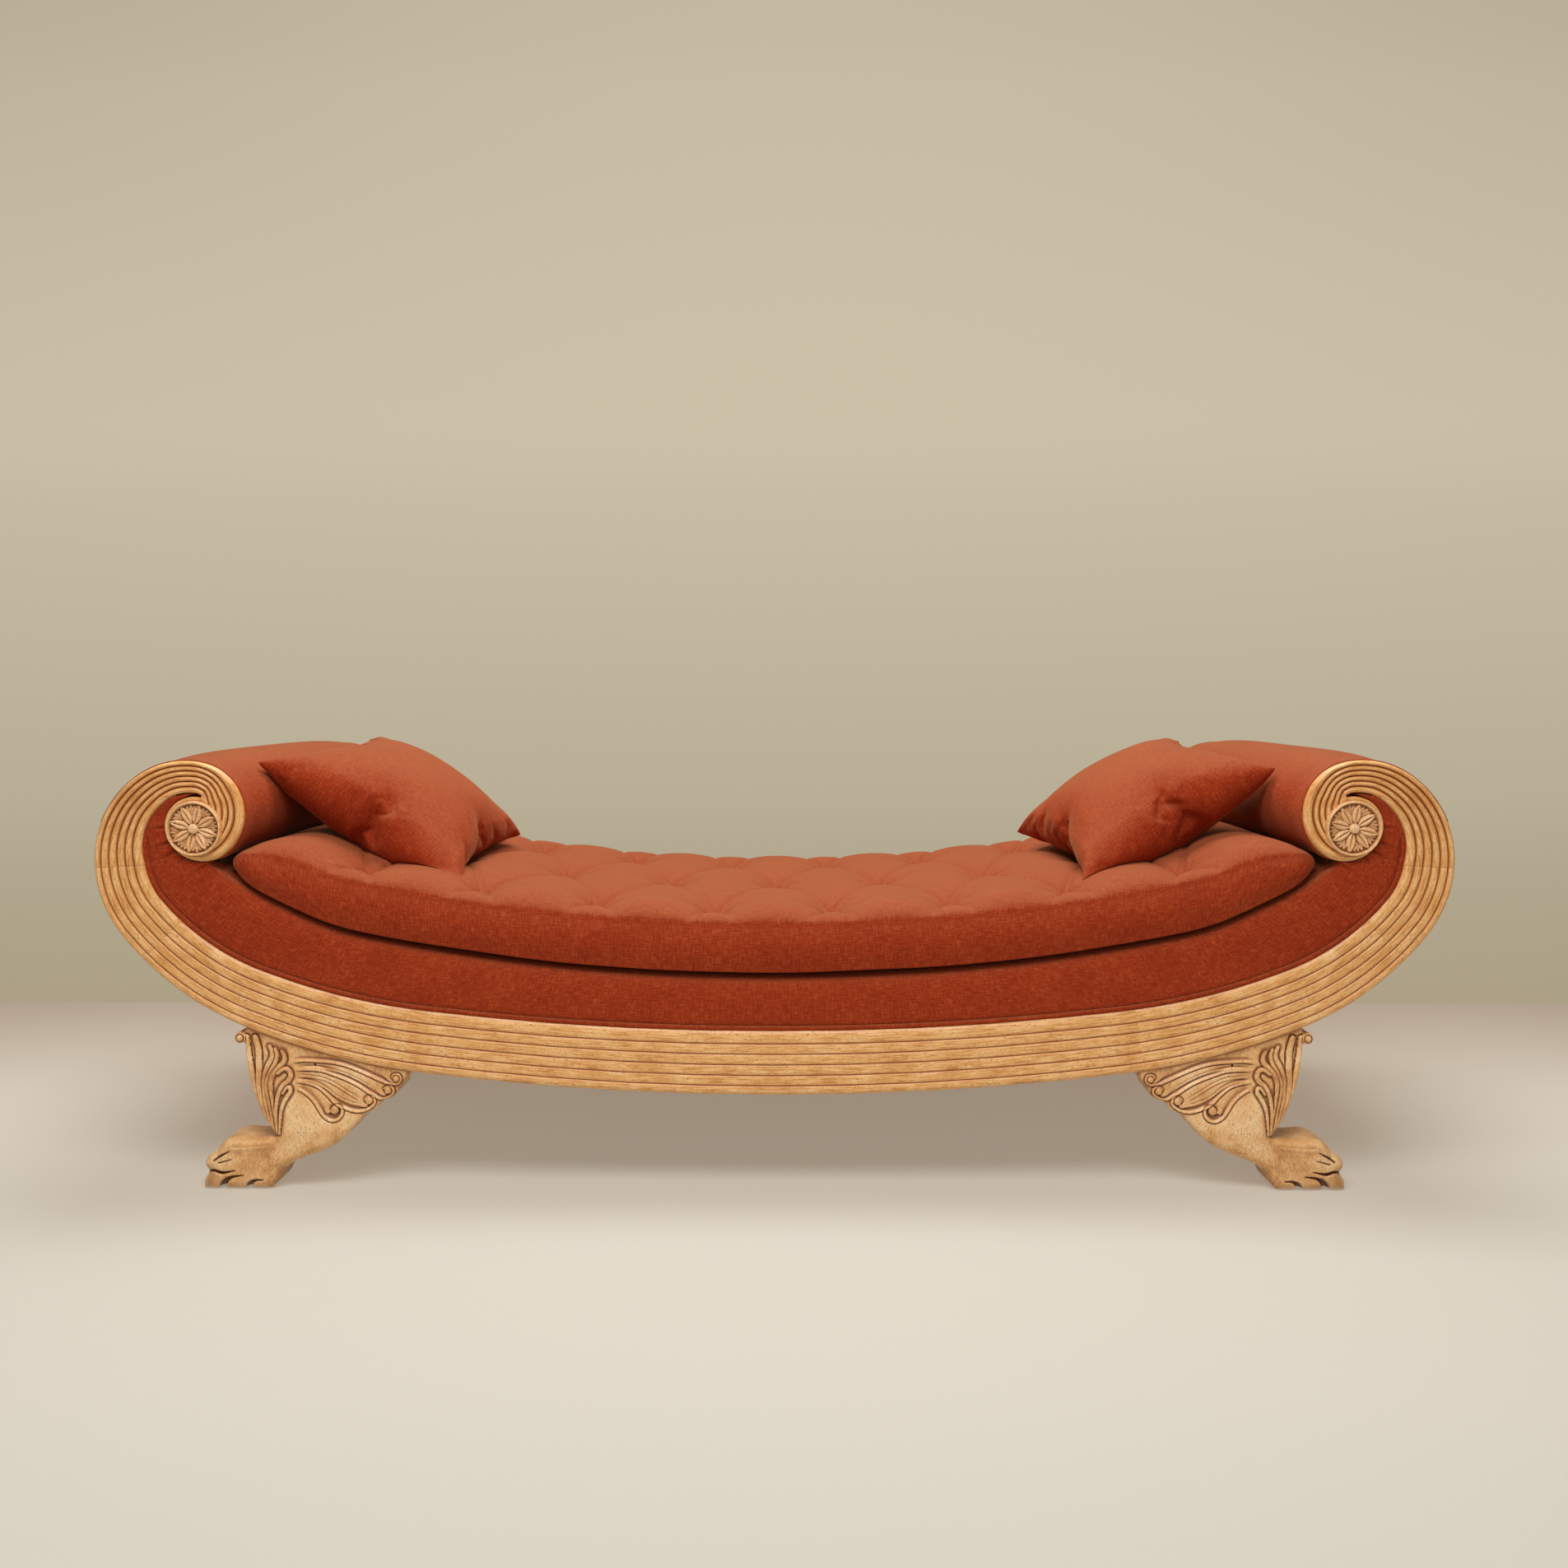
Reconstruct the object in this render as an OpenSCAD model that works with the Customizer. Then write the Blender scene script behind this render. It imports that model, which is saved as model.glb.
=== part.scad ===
// Recamier: a daybed with a reeded frame that sweeps up into a volute at both
// ends, four carved paw legs, a padded deck, a loose tufted mattress and two
// loose pillows. Millimetres. +X runs along the length, the front faces -Y and
// the origin lies on the floor under the middle of the frame.

/* [Overall] */
// Length over both volutes
overall_length = 2250; // [2000:10:2500]
// Depth over the front and rear rails
overall_depth = 800; // [740:10:860]
// Height of the underside of the rails at mid length
rail_bottom_z = 165; // [150:1:185]
// Height of the top of the wooden volutes
volute_top_z = 725; // [700:1:760]

/* [Rails] */
// Height of a rail at mid length
rail_height = 109; // [102:1:114]
// Thickness of a rail from front to back
rail_thickness = 48; // [42:1:56]
// Width of the groove between two reeds
reed_groove_width = 2.4; // [1.5:0.1:3.5]
// Depth of the groove between two reeds
reed_groove_depth = 4; // [2:0.5:6]
// Diameter of the dowels in the rail joints
dowel_d = 10; // [8:1:14]
// Length of the dowels in the rail joints
dowel_length = 60; // [40:2:80]

/* [Rosettes] */
// Diameter of a rosette
rosette_d = 92; // [84:1:96]
// Height of a rosette's rim above the rail
rosette_proud = 5; // [3:0.5:8]
// Depth of the seat that a rosette is glued into
rosette_seat_depth = 6; // [4:0.5:10]
// Width of a rosette's rim
rosette_rim = 5; // [4:0.5:8]
// Diameter of a rosette's centre button
rosette_button_d = 16; // [12:1:20]
// Height of the carved petals
petal_relief = 6; // [3:0.5:8]

/* [Legs] */
// Length of a leg from the toes to its inner end
leg_reach = 366; // [340:2:390]
// Distance of the toes from the end of the frame
leg_toe_inset = 161; // [140:1:190]
// Thickness of a leg from front to back
leg_thickness = 84; // [76:1:96]
// Distance of a leg's face behind the face of the rail
leg_setback = 5; // [3:0.5:10]
// Height of the carved leaves on a leg
leaf_relief = 4; // [2:0.5:4.5]
// Width of the haunch behind the rail
haunch_width = 190; // [170:2:210]
// Height of the flat top of the haunch
haunch_top_z = 270; // [262:1:274]

/* [Cross members] */
// Width of a cross rail over a leg
cross_rail_width = 120; // [100:2:140]
// Thickness of a cross rail
cross_rail_thickness = 30; // [24:1:34]
// Width of an end stretcher along the frame's curve
stretcher_width = 50; // [40:1:60]
// Thickness of an end stretcher
stretcher_thickness = 32; // [24:1:40]
// Length of the tenons on the cross members
tenon_length = 22; // [14:1:30]
// Thickness taken off each side of a member to make its tenon
tenon_shoulder = 8; // [6:0.5:10]
// Diameter of the bars that carry the rolls
roll_core_d = 70; // [60:1:76]
// Diameter of the round tenons on those bars
roll_core_tenon_d = 30; // [24:1:40]

/* [Leg fasteners] */
// Diameter of a leg bolt
leg_bolt_d = 10; // [8:1:12]
// Length of a leg bolt below its washer
leg_bolt_length = 62; // [54:1:70]
// Distance between the two bolts of a leg
leg_bolt_spacing = 44; // [36:1:60]
// Diameter of a washer
washer_d = 28; // [24:1:32]
// Thickness of a washer
washer_thickness = 2.5; // [1.5:0.5:4]
// Outer diameter of a threaded insert
insert_d = 16; // [14:1:18]
// Length of a threaded insert
insert_length = 28; // [22:1:30]

/* [Deck] */
// Height of the padded border between rail and deck at mid length
border_height = 91; // [84:1:98]
// Thickness of the border boards
board_thickness = 12; // [9:1:15]
// Width of the border boards' glue lap behind the rails
board_lap = 20; // [12:1:24]
// Thickness of the ledgers that carry the slats
ledger_thickness = 25; // [20:1:30]
// Height of the ledgers
ledger_height = 28; // [24:1:30]
// Width of a deck slat
slat_width = 50; // [40:1:56]
// Thickness of a deck slat
slat_thickness = 12; // [10:1:15]
// Distance between the middles of neighbouring slats
slat_pitch = 86; // [74:1:100]
// Diameter of a deck screw
screw_d = 4; // [3:0.5:5]
// Length of a deck screw
screw_length = 32; // [24:1:36]
// Thickness of the deck's foam
deck_foam_thickness = 38; // [30:1:44]

/* [Upholstery] */
// Thickness of the upholstery cloth
cloth_thickness = 2; // [1.5:0.1:3]
// Diameter of the piping along the rails
piping_d = 9; // [7:0.5:11]
// Distance of the border's cloth behind the face of the rail
border_setback = 4; // [2:0.5:8]
// Distance that the rolls' padding stands out past the volutes
roll_bulge = 12; // [6:0.5:14]
// Thickness of the boards behind the outside covers
outside_board_thickness = 8; // [6:0.5:10]
// Thickness of the dust cover
dust_cover_thickness = 1.5; // [1:0.1:2.5]

/* [Mattress] */
// How far the mattress's noses reach in under the rolls
mattress_tuck = 37.1; // [30:0.1:38]
// Depth of the mattress from front to back
mattress_depth = 764; // [700:2:780]
// Distance of the mattress's front behind the face of the rail
mattress_setback = 6; // [2:1:14]
// Height of the mattress's front face
mattress_edge_height = 86; // [76:1:92]
// Height of the mattress at the top of its puffs
mattress_crown_height = 113; // [100:1:118]
// Depth of a sewn tuft below the puffs
tuft_depth = 18; // [8:1:24]
// Distance between the tufts of a row
tuft_pitch = 200; // [190:1:210]
// Distance between two rows of tufts
tuft_row_pitch = 270; // [250:1:290]
// Thickness of the mattress's filling under the cover's top
mattress_cover_thickness = 14; // [10:1:20]

/* [Pillows] */
// Side of a pillow from corner to corner
pillow_side = 412; // [396:2:420]
// Thickness of a pillow at its middle
pillow_thickness = 128; // [110:1:140]
// Slope of the pillows against the rolls
pillow_tilt = 31; // [28:0.5:34]

/* [Hidden] */
$fn = 48;
oak = "burlywood";
beech = "wheat";
linen = "sienna";
foam = "khaki";

// Gap of a glued or seated joint between two solids
joint_gap = 0.2;
// Gap between a soft piece and what it lies on
soft_gap = 0.4;
// The cloth's facets and those of what is under it differ, so a little air keeps them apart
cover_gap = 1;
// Length by which a cut runs past the face that it opens
overrun = 1;
half_length = overall_length / 2;
front_y = -overall_depth / 2;
rail_back_y = front_y + rail_thickness;

// Tangent arcs of a rail's outer edge, from mid length to the end of the volute:
// heading swept, radius as a share of the half length, and straight steps
edge_arc_shares = [[7, 4.22, 3], [15, 1.06, 4], [30, 0.437, 5], [33, 0.182, 4],
    [61, 0.155, 6], [46, 0.126, 5], [66, 0.075, 7], [63, 0.0766, 7],
    [112, 0.0554, 11], [122, 0.0436, 11]];
// Width of the rail at a heading, as a share of its height at mid length
rail_width_shares = [[0, 1], [20, 0.925], [50, 0.84], [90, 0.775], [130, 0.62], [170, 0.5],
    [190, 0.475], [211, 0.487], [240, 0.58], [260, 0.6], [300, 0.62]];
// Grooves between the reeds, as shares of the rail's width from its outer edge:
// along the rail and where the reeds run in under the rosette
reed_shares = [0.15, 0.31, 0.475, 0.64, 0.8];
reed_volute_shares = [0.24, 0.39, 0.54, 0.7, 0.85];
reed_end_headings = [318, 280, 258, 242, 226];
reed_turn_headings = [[190, 0], [235, 1]];
volute_close = 211;
volute_end = 555;
// Middle of a rosette, as shares of the half length and of the volute's rise
eye_shares = [0.8482, 0.8008];
// Headings of the joints between rail, sweep, shoulder and volute
rail_joint = 9;
sweep_joint = 46;
shoulder_joint = 87;
end_stretcher_heading = 62;
shoulder_stretcher_heading = 112;

// End of a chain of tangent arcs that has turned to a heading
function arc_point(arcs, heading, i = 0, x = 0, z = 0, turned = 0) =
    let (turn = min(arcs[i][0], heading - turned),
        next = turned + turn,
        nx = x + arcs[i][1] * (sin(next) - sin(turned)),
        nz = z + arcs[i][1] * (cos(turned) - cos(next)))
    (next >= heading || i == len(arcs) - 1) ? [nx, nz]
        : arc_point(arcs, heading, i + 1, nx, nz, next);
function arc_headings(arcs, i = 0, turned = 0) = i == len(arcs) ? [turned]
    : concat([for (k = [0 : arcs[i][2] - 1]) turned + arcs[i][0] * k / arcs[i][2]],
        arc_headings(arcs, i + 1, turned + arcs[i][0]));
// Headings of a list that lie between two others, with both ends added
least_turn = 0.3;
function headings_between(list, low, high) =
    concat([low], [for (h = list) if (h > low + least_turn && h < high - least_turn) h], [high]);
function reversed(v) = [for (i = [len(v) - 1 : -1 : 0]) v[i]];
// Outline whose right half starts and ends at mid length
function both_sides(half) = concat(half, [for (p = reversed(half)) if (p[0] > joint_gap) [-p[0], p[1]]]);
function mirrored(v) = [for (p = v) [-p[0], p[1]]];
function between(a, b, share) = a + (b - a) * share;

edge_headings = arc_headings(edge_arc_shares);
curve_scale = [half_length / arc_point(edge_arc_shares, 90)[0],
    (volute_top_z - rail_bottom_z) / arc_point(edge_arc_shares, 180)[1]];
function edge_point(h) = let (p = arc_point(edge_arc_shares, h))
    [p[0] * curve_scale[0], rail_bottom_z + p[1] * curve_scale[1]];
function curve_slope(h) = atan2(curve_scale[1] * sin(h), curve_scale[0] * cos(h));
function curve_normal(h) = [-sin(curve_slope(h)), cos(curve_slope(h))];
function inset_point(h, depth) = edge_point(h) + depth * curve_normal(h);
function rail_width(h) = rail_height * lookup(h, rail_width_shares);
function inner_point(h, depth = 0) = inset_point(h, rail_width(h) + depth);
// Heading at which the outer edge stands upright, and that at which it reaches a distance from mid length
end_heading = 90;
function heading_at(x, low = 0, high = end_heading, steps = 24) = let (middle = (low + high) / 2)
    steps == 0 ? middle : edge_point(middle)[0] < x ? heading_at(x, middle, high, steps - 1)
        : heading_at(x, low, middle, steps - 1);
eye = [eye_shares[0] * half_length,
    rail_bottom_z + eye_shares[1] * (volute_top_z - rail_bottom_z)];

// Tangent arcs of the deck's cloth, from mid length to under the roll
deck_arc_shares = [[6, 3.21, 4], [6, 2.67, 4], [12, 0.356, 4], [4, 1.234, 2], [10, 0.507, 3]];
deck_end = 38;
deck_headings = arc_headings(deck_arc_shares);
deck_z = rail_bottom_z + rail_height + border_height;
function deck_point(h, depth = 0) = let (p = arc_point(deck_arc_shares, h))
    [p[0] * curve_scale[0], deck_z + p[1] * curve_scale[1]] - depth * curve_normal(h);
function deck_heading_at(x, low = 0, high = deck_end, steps = 24) = let (middle = (low + high) / 2)
    steps == 0 ? middle : deck_point(middle)[0] < x ? deck_heading_at(x, middle, high, steps - 1)
        : deck_heading_at(x, low, middle, steps - 1);
function deck_height(x) = deck_point(deck_heading_at(abs(x)))[1];

// Extrudes an outline drawn in X and Z from one Y to another
module layer(y_low, y_high) {
    translate([0, y_high, 0]) rotate([90, 0, 0]) linear_extrude(height = y_high - y_low) children();
}
// Stands the Z axis along the rail at a heading and a depth below its outer edge
module on_rail(h, depth, y) {
    p = inset_point(h, depth);
    translate([p[0], y, p[1]]) rotate([0, 90 - curve_slope(h), 0]) children();
}

function rail_outline(low, high) = let (list = headings_between(edge_headings, low, high))
    concat([for (h = list) edge_point(h)], [for (h = reversed(list)) inner_point(h)]);
volute_outline = concat(
    [for (h = headings_between(edge_headings, shoulder_joint, volute_end)) edge_point(h)],
    [for (h = reversed(headings_between(edge_headings, shoulder_joint, volute_close))) inner_point(h)]);
function reed_depth(i, h) = rail_width(h)
    * between(reed_shares[i], reed_volute_shares[i], lookup(h, reed_turn_headings));
function groove_outline(i, low, high) = let (list = headings_between(edge_headings, low, high))
    concat([for (h = list) inset_point(h, reed_depth(i, h) - reed_groove_width / 2)],
        [for (h = reversed(list)) inset_point(h, reed_depth(i, h) + reed_groove_width / 2)]);
// Cuts the grooves between the reeds from one heading to another
module reed_grooves(low, high) {
    for (i = [0 : len(reed_shares) - 1])
        layer(front_y - overrun, front_y + reed_groove_depth)
            polygon(groove_outline(i, low, min(high, reed_end_headings[i])));
}

// Dowels of a rail joint, stretched by a clearance where they cut their holes
dowel_row_shares = [0.3, 0.7];
module joint_dowels(h, clearance) {
    for (row = dowel_row_shares)
        on_rail(h, row * rail_width(h), front_y + rail_thickness / 2)
            cylinder(h = dowel_length + 2 * clearance, r = dowel_d / 2 + clearance, center = true);
}

// A bar along Y with a tenon at each end, or its two tenons alone to cut the mortises
module cross_member(width, thickness, clearance = 0) {
    cube([width - 2 * tenon_shoulder + 2 * clearance,
        2 * (tenon_length - rail_back_y + clearance),
        thickness - 2 * tenon_shoulder + 2 * clearance], center = true);
    if (clearance == 0)
        cube([width, -2 * (rail_back_y + joint_gap), thickness], center = true);
}
leg_toe_x = half_length - leg_toe_inset;
cross_rail_share = 0.61;
cross_rail_x = leg_toe_x - leg_reach * cross_rail_share;
module at_cross_rail() {
    translate([cross_rail_x, 0, haunch_top_z + joint_gap + cross_rail_thickness / 2]) children();
}
module at_middle_rail() {
    translate([0, 0, rail_bottom_z + rail_height / 2]) children();
}
// The stretchers lie flat inside the outside boards, which curve towards them
stretcher_bend_share = 0.15;
stretcher_depth = cloth_thickness + cover_gap + outside_board_thickness + stretcher_thickness / 2
    + stretcher_width * stretcher_width / (8 * stretcher_bend_share * half_length) + joint_gap;
module stretcher_at(h, clearance = 0) {
    on_rail(h, stretcher_depth, 0) rotate([0, 90, 0])
        cross_member(stretcher_width, stretcher_thickness, clearance);
}

// Rails: the right front ones are drawn, and the others mirror them
module rail_middle() {
    half = rail_outline(0, rail_joint);
    color(oak) difference() {
        layer(front_y, rail_back_y) polygon(both_sides(half));
        for (side = [0, 1])
            mirror([side, 0, 0]) {
                reed_grooves(0, rail_joint + overrun);
                joint_dowels(rail_joint, joint_gap / 2);
            }
        at_middle_rail() cross_member(cross_rail_width, cross_rail_thickness, joint_gap);
    }
}
module sweep() {
    color(oak) difference() {
        layer(front_y, rail_back_y) polygon(rail_outline(rail_joint, sweep_joint));
        reed_grooves(rail_joint - overrun, sweep_joint + overrun);
        joint_dowels(rail_joint, joint_gap / 2);
        joint_dowels(sweep_joint, joint_gap / 2);
        at_cross_rail() cross_member(cross_rail_width, cross_rail_thickness, joint_gap);
    }
}
module shoulder() {
    color(oak) difference() {
        layer(front_y, rail_back_y) polygon(rail_outline(sweep_joint, shoulder_joint));
        reed_grooves(sweep_joint - overrun, shoulder_joint + overrun);
        joint_dowels(sweep_joint, joint_gap / 2);
        joint_dowels(shoulder_joint, joint_gap / 2);
        stretcher_at(end_stretcher_heading, joint_gap);
    }
}
module volute() {
    color(oak) difference() {
        layer(front_y, rail_back_y) polygon(volute_outline);
        reed_grooves(shoulder_joint - overrun, volute_end);
        joint_dowels(shoulder_joint, joint_gap / 2);
        stretcher_at(shoulder_stretcher_heading, joint_gap);
        at_eye(front_y - overrun, front_y + rosette_seat_depth) circle(d = rosette_d + 2 * joint_gap);
        at_eye(rail_back_y - tenon_length - joint_gap, rail_back_y + overrun)
            circle(d = roll_core_tenon_d + joint_gap);
    }
}
// Extrudes an outline about the middle of the volute
module at_eye(y_low, y_high) {
    layer(y_low, y_high) translate(eye) children();
}
module rail_dowels() {
    color(beech)
        for (side = [0, 1], end = [0, 1], h = [rail_joint, sweep_joint, shoulder_joint])
            mirror([side, 0, 0]) mirror([0, end, 0]) joint_dowels(h, 0);
}

// Rosettes: a rimmed disc with pointed petals round a button
petal_count = 8;
petal_shares = [0.24, 0.86];
petal_width_share = 0.28;
small_petal_width_share = 0.6;
small_petal_shares = [0.52, 0.86];
// A pointed oval from one radius to another, between two arcs
module petal(shares, width) {
    low = shares[0] * rosette_d / 2;
    high = shares[1] * rosette_d / 2;
    bow = ((high - low) * (high - low) / width + width) / 4;
    translate([(low + high) / 2, 0]) intersection() {
        translate([0, bow - width / 2]) circle(r = bow);
        translate([0, width / 2 - bow]) circle(r = bow);
    }
}
module rosette() {
    seat_y = front_y + rosette_seat_depth - joint_gap;
    face_y = front_y - rosette_proud + petal_relief;
    petal_width = petal_width_share * rosette_d / 2;
    color(oak) {
        at_eye(face_y, seat_y) circle(d = rosette_d);
        at_eye(front_y - rosette_proud, face_y) difference() {
            circle(d = rosette_d);
            circle(d = rosette_d - 2 * rosette_rim);
        }
        at_eye(face_y - petal_relief, face_y)
            for (i = [0 : petal_count - 1])
                rotate(360 * i / petal_count) petal(petal_shares, petal_width);
        at_eye(face_y - petal_relief / 2, face_y)
            for (i = [0 : petal_count - 1])
                rotate(360 * (i + 1 / 2) / petal_count) petal(small_petal_shares, petal_width * small_petal_width_share);
        at_eye(face_y - petal_relief - rosette_rim / 2, face_y) circle(d = rosette_button_d);
    }
}

// Legs: shares of the reach inwards from the toes and of the height under the rail
leg_sole_shares = [[0, 0], [0.317, 0], [0.35, 0.029], [0.369, 0.09], [0.415, 0.158],
    [0.492, 0.212], [0.587, 0.266], [0.664, 0.32], [0.727, 0.392], [0.781, 0.489],
    [0.852, 0.536], [0.872, 0.579], [0.921, 0.597], [0.954, 0.658]];
leg_front_shares = [[0.246, 0.928], [0.246, 0.813], [0.262, 0.658], [0.298, 0.514],
    [0.333, 0.41], [0.358, 0.338], [0.257, 0.334], [0.169, 0.331], [0.117, 0.299],
    [0.085, 0.245], [0.036, 0.201], [0.014, 0.162], [0.016, 0.112], [0.005, 0.05]];
leg_top_share = 0.224;
leg_seat_gap = 0.6;
leg_front_y = front_y + leg_setback;
leg_back_y = leg_front_y + leg_thickness;
leg_height = edge_point(heading_at(leg_toe_x - leg_top_share * leg_reach))[1];
function leg_point(share) = [leg_toe_x - share[0] * leg_reach, share[1] * leg_height];
leg_outline = concat([for (share = leg_sole_shares) leg_point(share)],
    [for (h = headings_between(edge_headings, heading_at(leg_toe_x - leg_reach),
        heading_at(leg_toe_x - leg_top_share * leg_reach))) inset_point(h, -leg_seat_gap)],
    [for (share = leg_front_shares) leg_point(share)]);
haunch_foot_share = 0.62;
bolt_y = (rail_back_y + joint_gap + leg_back_y) / 2;
// A band along a quadratic curve, tapered between its end widths
ribbon_steps = 8;
function curve_at(a, b, c, t) = between(between(a, b, t), between(b, c, t), t);
function ribbon_side(a, b, c, widths, side) = [for (k = [0 : ribbon_steps])
    let (t = k / ribbon_steps, run = between(b - a, c - b, t), width = between(widths[0], widths[1], t))
    curve_at(a, b, c, t) + side * width / 2 * [-run[1], run[0]] / norm(run)];
module ribbon(shares, widths) {
    a = leg_point(shares[0]);
    b = leg_point(shares[1]);
    c = leg_point(shares[2]);
    polygon(concat(ribbon_side(a, b, c, widths, 1), reversed(ribbon_side(a, b, c, widths, -1))));
}
// Leaves that fan up from the ankle, and the long leaves of the wing with their curls
fan_shares = [[[0.375, 0.4], [0.3, 0.66], [0.262, 0.9]], [[0.385, 0.42], [0.36, 0.62], [0.315, 0.9]],
    [[0.4, 0.45], [0.42, 0.6], [0.372, 0.86]]];
wing_shares = [[[0.47, 0.82], [0.66, 0.74], [0.925, 0.66]], [[0.46, 0.72], [0.64, 0.66], [0.86, 0.6]],
    [[0.45, 0.62], [0.6, 0.56], [0.77, 0.53]], [[0.45, 0.53], [0.54, 0.48], [0.66, 0.46]]];
leaf_width_shares = [0.03, 0.07];
curl_share = 0.045;
toe_shares = [[[0.04, 0.02], [0.1, 0.08], [0.14, 0.2]], [[0.13, 0.02], [0.18, 0.08], [0.2, 0.18]],
    [[0.22, 0.02], [0.26, 0.06], [0.28, 0.14]]];
toe_cut_shares = [0.03, 0.01];
module leg() {
    color(oak) difference() {
        union() {
            layer(leg_front_y, leg_back_y) polygon(leg_outline);
            layer(rail_back_y + joint_gap, leg_back_y)
                translate([cross_rail_x - haunch_width / 2, haunch_foot_share * leg_height])
                    square([haunch_width, haunch_top_z - haunch_foot_share * leg_height]);
            layer(leg_front_y - leaf_relief, leg_front_y + overrun) {
                for (leaf = fan_shares)
                    ribbon(leaf, leg_reach * leaf_width_shares);
                for (leaf = wing_shares) {
                    ribbon(leaf, leg_reach * leaf_width_shares);
                    translate(leg_point(leaf[2])) circle(r = curl_share * leg_reach);
                }
            }
        }
        for (toe = toe_shares)
            layer(leg_front_y - overrun, leg_front_y + 2 * leaf_relief)
                ribbon(toe, leg_reach * toe_cut_shares);
        leg_bolt_holes(haunch_top_z + overrun);
        at_leg_bolts(haunch_top_z - insert_length - joint_gap)
            cylinder(h = insert_length + joint_gap + overrun, d = insert_d + joint_gap);
    }
}
module at_leg_bolts(z) {
    for (side = [-1, 1])
        translate([cross_rail_x + side * leg_bolt_spacing / 2, bolt_y, z]) children();
}
bolt_seat_z = haunch_top_z + joint_gap + cross_rail_thickness;
bolt_head_shares = [1.9, 0.65];
module leg_bolt_holes(top_z) {
    foot_z = bolt_seat_z - leg_bolt_length - joint_gap;
    at_leg_bolts(foot_z) cylinder(h = top_z - foot_z, r = leg_bolt_d / 2 + joint_gap / 2);
}
// The head is a hexagon, as six-sided as a spanner needs
module leg_bolts() {
    color("silver")
        for (side = [0, 1], end = [0, 1])
            mirror([side, 0, 0]) mirror([0, end, 0]) {
                at_leg_bolts(bolt_seat_z - leg_bolt_length)
                    cylinder(h = leg_bolt_length + washer_thickness + joint_gap, d = leg_bolt_d);
                at_leg_bolts(bolt_seat_z + washer_thickness + joint_gap)
                    cylinder(h = leg_bolt_d * bolt_head_shares[1], d = leg_bolt_d * bolt_head_shares[0], $fn = 6);
            }
}
module leg_inserts() {
    color("goldenrod")
        for (side = [0, 1], end = [0, 1])
            mirror([side, 0, 0]) mirror([0, end, 0])
                at_leg_bolts(haunch_top_z - insert_length) difference() {
                    cylinder(h = insert_length, d = insert_d);
                    translate([0, 0, -overrun])
                        cylinder(h = insert_length + 2 * overrun, d = leg_bolt_d + joint_gap);
                }
}
module leg_washers() {
    color("silver")
        for (side = [0, 1], end = [0, 1])
            mirror([side, 0, 0]) mirror([0, end, 0])
                at_leg_bolts(bolt_seat_z + joint_gap / 2) difference() {
                    cylinder(h = washer_thickness, d = washer_d);
                    translate([0, 0, -overrun])
                        cylinder(h = washer_thickness + 2 * overrun, d = leg_bolt_d + joint_gap);
                }
}
module cross_rail_end() {
    color(beech) difference() {
        at_cross_rail() cross_member(cross_rail_width, cross_rail_thickness);
        for (end = [0, 1])
            mirror([0, end, 0]) leg_bolt_holes(bolt_seat_z + overrun);
    }
}
module stretcher(h) {
    color(beech) stretcher_at(h);
}
module cross_rail_middle() {
    color(beech) at_middle_rail() cross_member(cross_rail_width, cross_rail_thickness);
}
module roll_core() {
    color(beech) {
        at_eye(rail_back_y + joint_gap, -rail_back_y - joint_gap) circle(d = roll_core_d);
        at_eye(rail_back_y - tenon_length, tenon_length - rail_back_y) circle(d = roll_core_tenon_d);
    }
}

// Deck: boards inside the rails carry ledgers, slats, foam and cloth
board_back_y = rail_back_y + board_thickness;
ledger_back_y = board_back_y + joint_gap + ledger_thickness;
slat_depth = cloth_thickness + deck_foam_thickness + 2 * joint_gap;
// The slats are flat and the ledgers curved, so they meet at the slats' middles
slat_seat_gap = 0.8;
ledger_depth = slat_depth + slat_thickness + slat_seat_gap;
ledger_end = 26;
board_tip = [430, 140];
board_lap_shares = [[144, 1], [150, 0]];
ring_start = 352;
function deck_line(depth, last = deck_end) =
    [for (h = headings_between(deck_headings, 0, last)) deck_point(h, depth)];
function ring_line(last) =
    [for (h = headings_between(edge_headings, ring_start, last)) inset_point(h, -joint_gap)];
module border_board() {
    color(beech) layer(rail_back_y + joint_gap, board_back_y)
        polygon(both_sides(concat(deck_line(cloth_thickness + joint_gap), ring_line(board_tip[0]),
            [for (h = reversed(headings_between(edge_headings, 0, board_tip[1]))) inner_point(h, -board_lap)])));
}
function band(depth, height, last) = both_sides(concat(deck_line(depth, last),
    reversed(deck_line(depth + height, last))));
slat_count = floor(deck_point(ledger_end)[0] / slat_pitch);
module at_slats() {
    for (i = [-slat_count : slat_count]) {
        h = deck_heading_at(abs(i) * slat_pitch);
        p = deck_point(h, slat_depth + slat_thickness / 2);
        translate([sign(i) * p[0], 0, p[1]]) rotate([0, -sign(i) * curve_slope(h), 0]) children();
    }
}
screw_y = board_back_y + joint_gap + ledger_thickness / 2;
screw_head_share = 2;
module slat_screw(clearance) {
    for (end = [-1, 1])
        translate([0, end * screw_y, slat_thickness / 2]) {
            translate([0, 0, -screw_length - clearance])
                cylinder(h = screw_length + 2 * clearance, r = screw_d / 2 + clearance);
            translate([0, 0, -screw_d / 2 - clearance])
                cylinder(h = screw_d / 2 + 2 * clearance, r1 = screw_d / 2 + clearance,
                    r2 = screw_d * screw_head_share / 2 + clearance);
        }
}
module ledger() {
    color(beech) difference() {
        layer(board_back_y + joint_gap, ledger_back_y) polygon(band(ledger_depth, ledger_height, ledger_end));
        at_slats() slat_screw(joint_gap / 2);
    }
}
module deck_slats() {
    color(beech) at_slats() difference() {
        cube([slat_width, -2 * (board_back_y + joint_gap), slat_thickness], center = true);
        slat_screw(joint_gap / 2);
    }
}
module deck_screws() {
    color("silver") at_slats() slat_screw(0);
}
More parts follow.
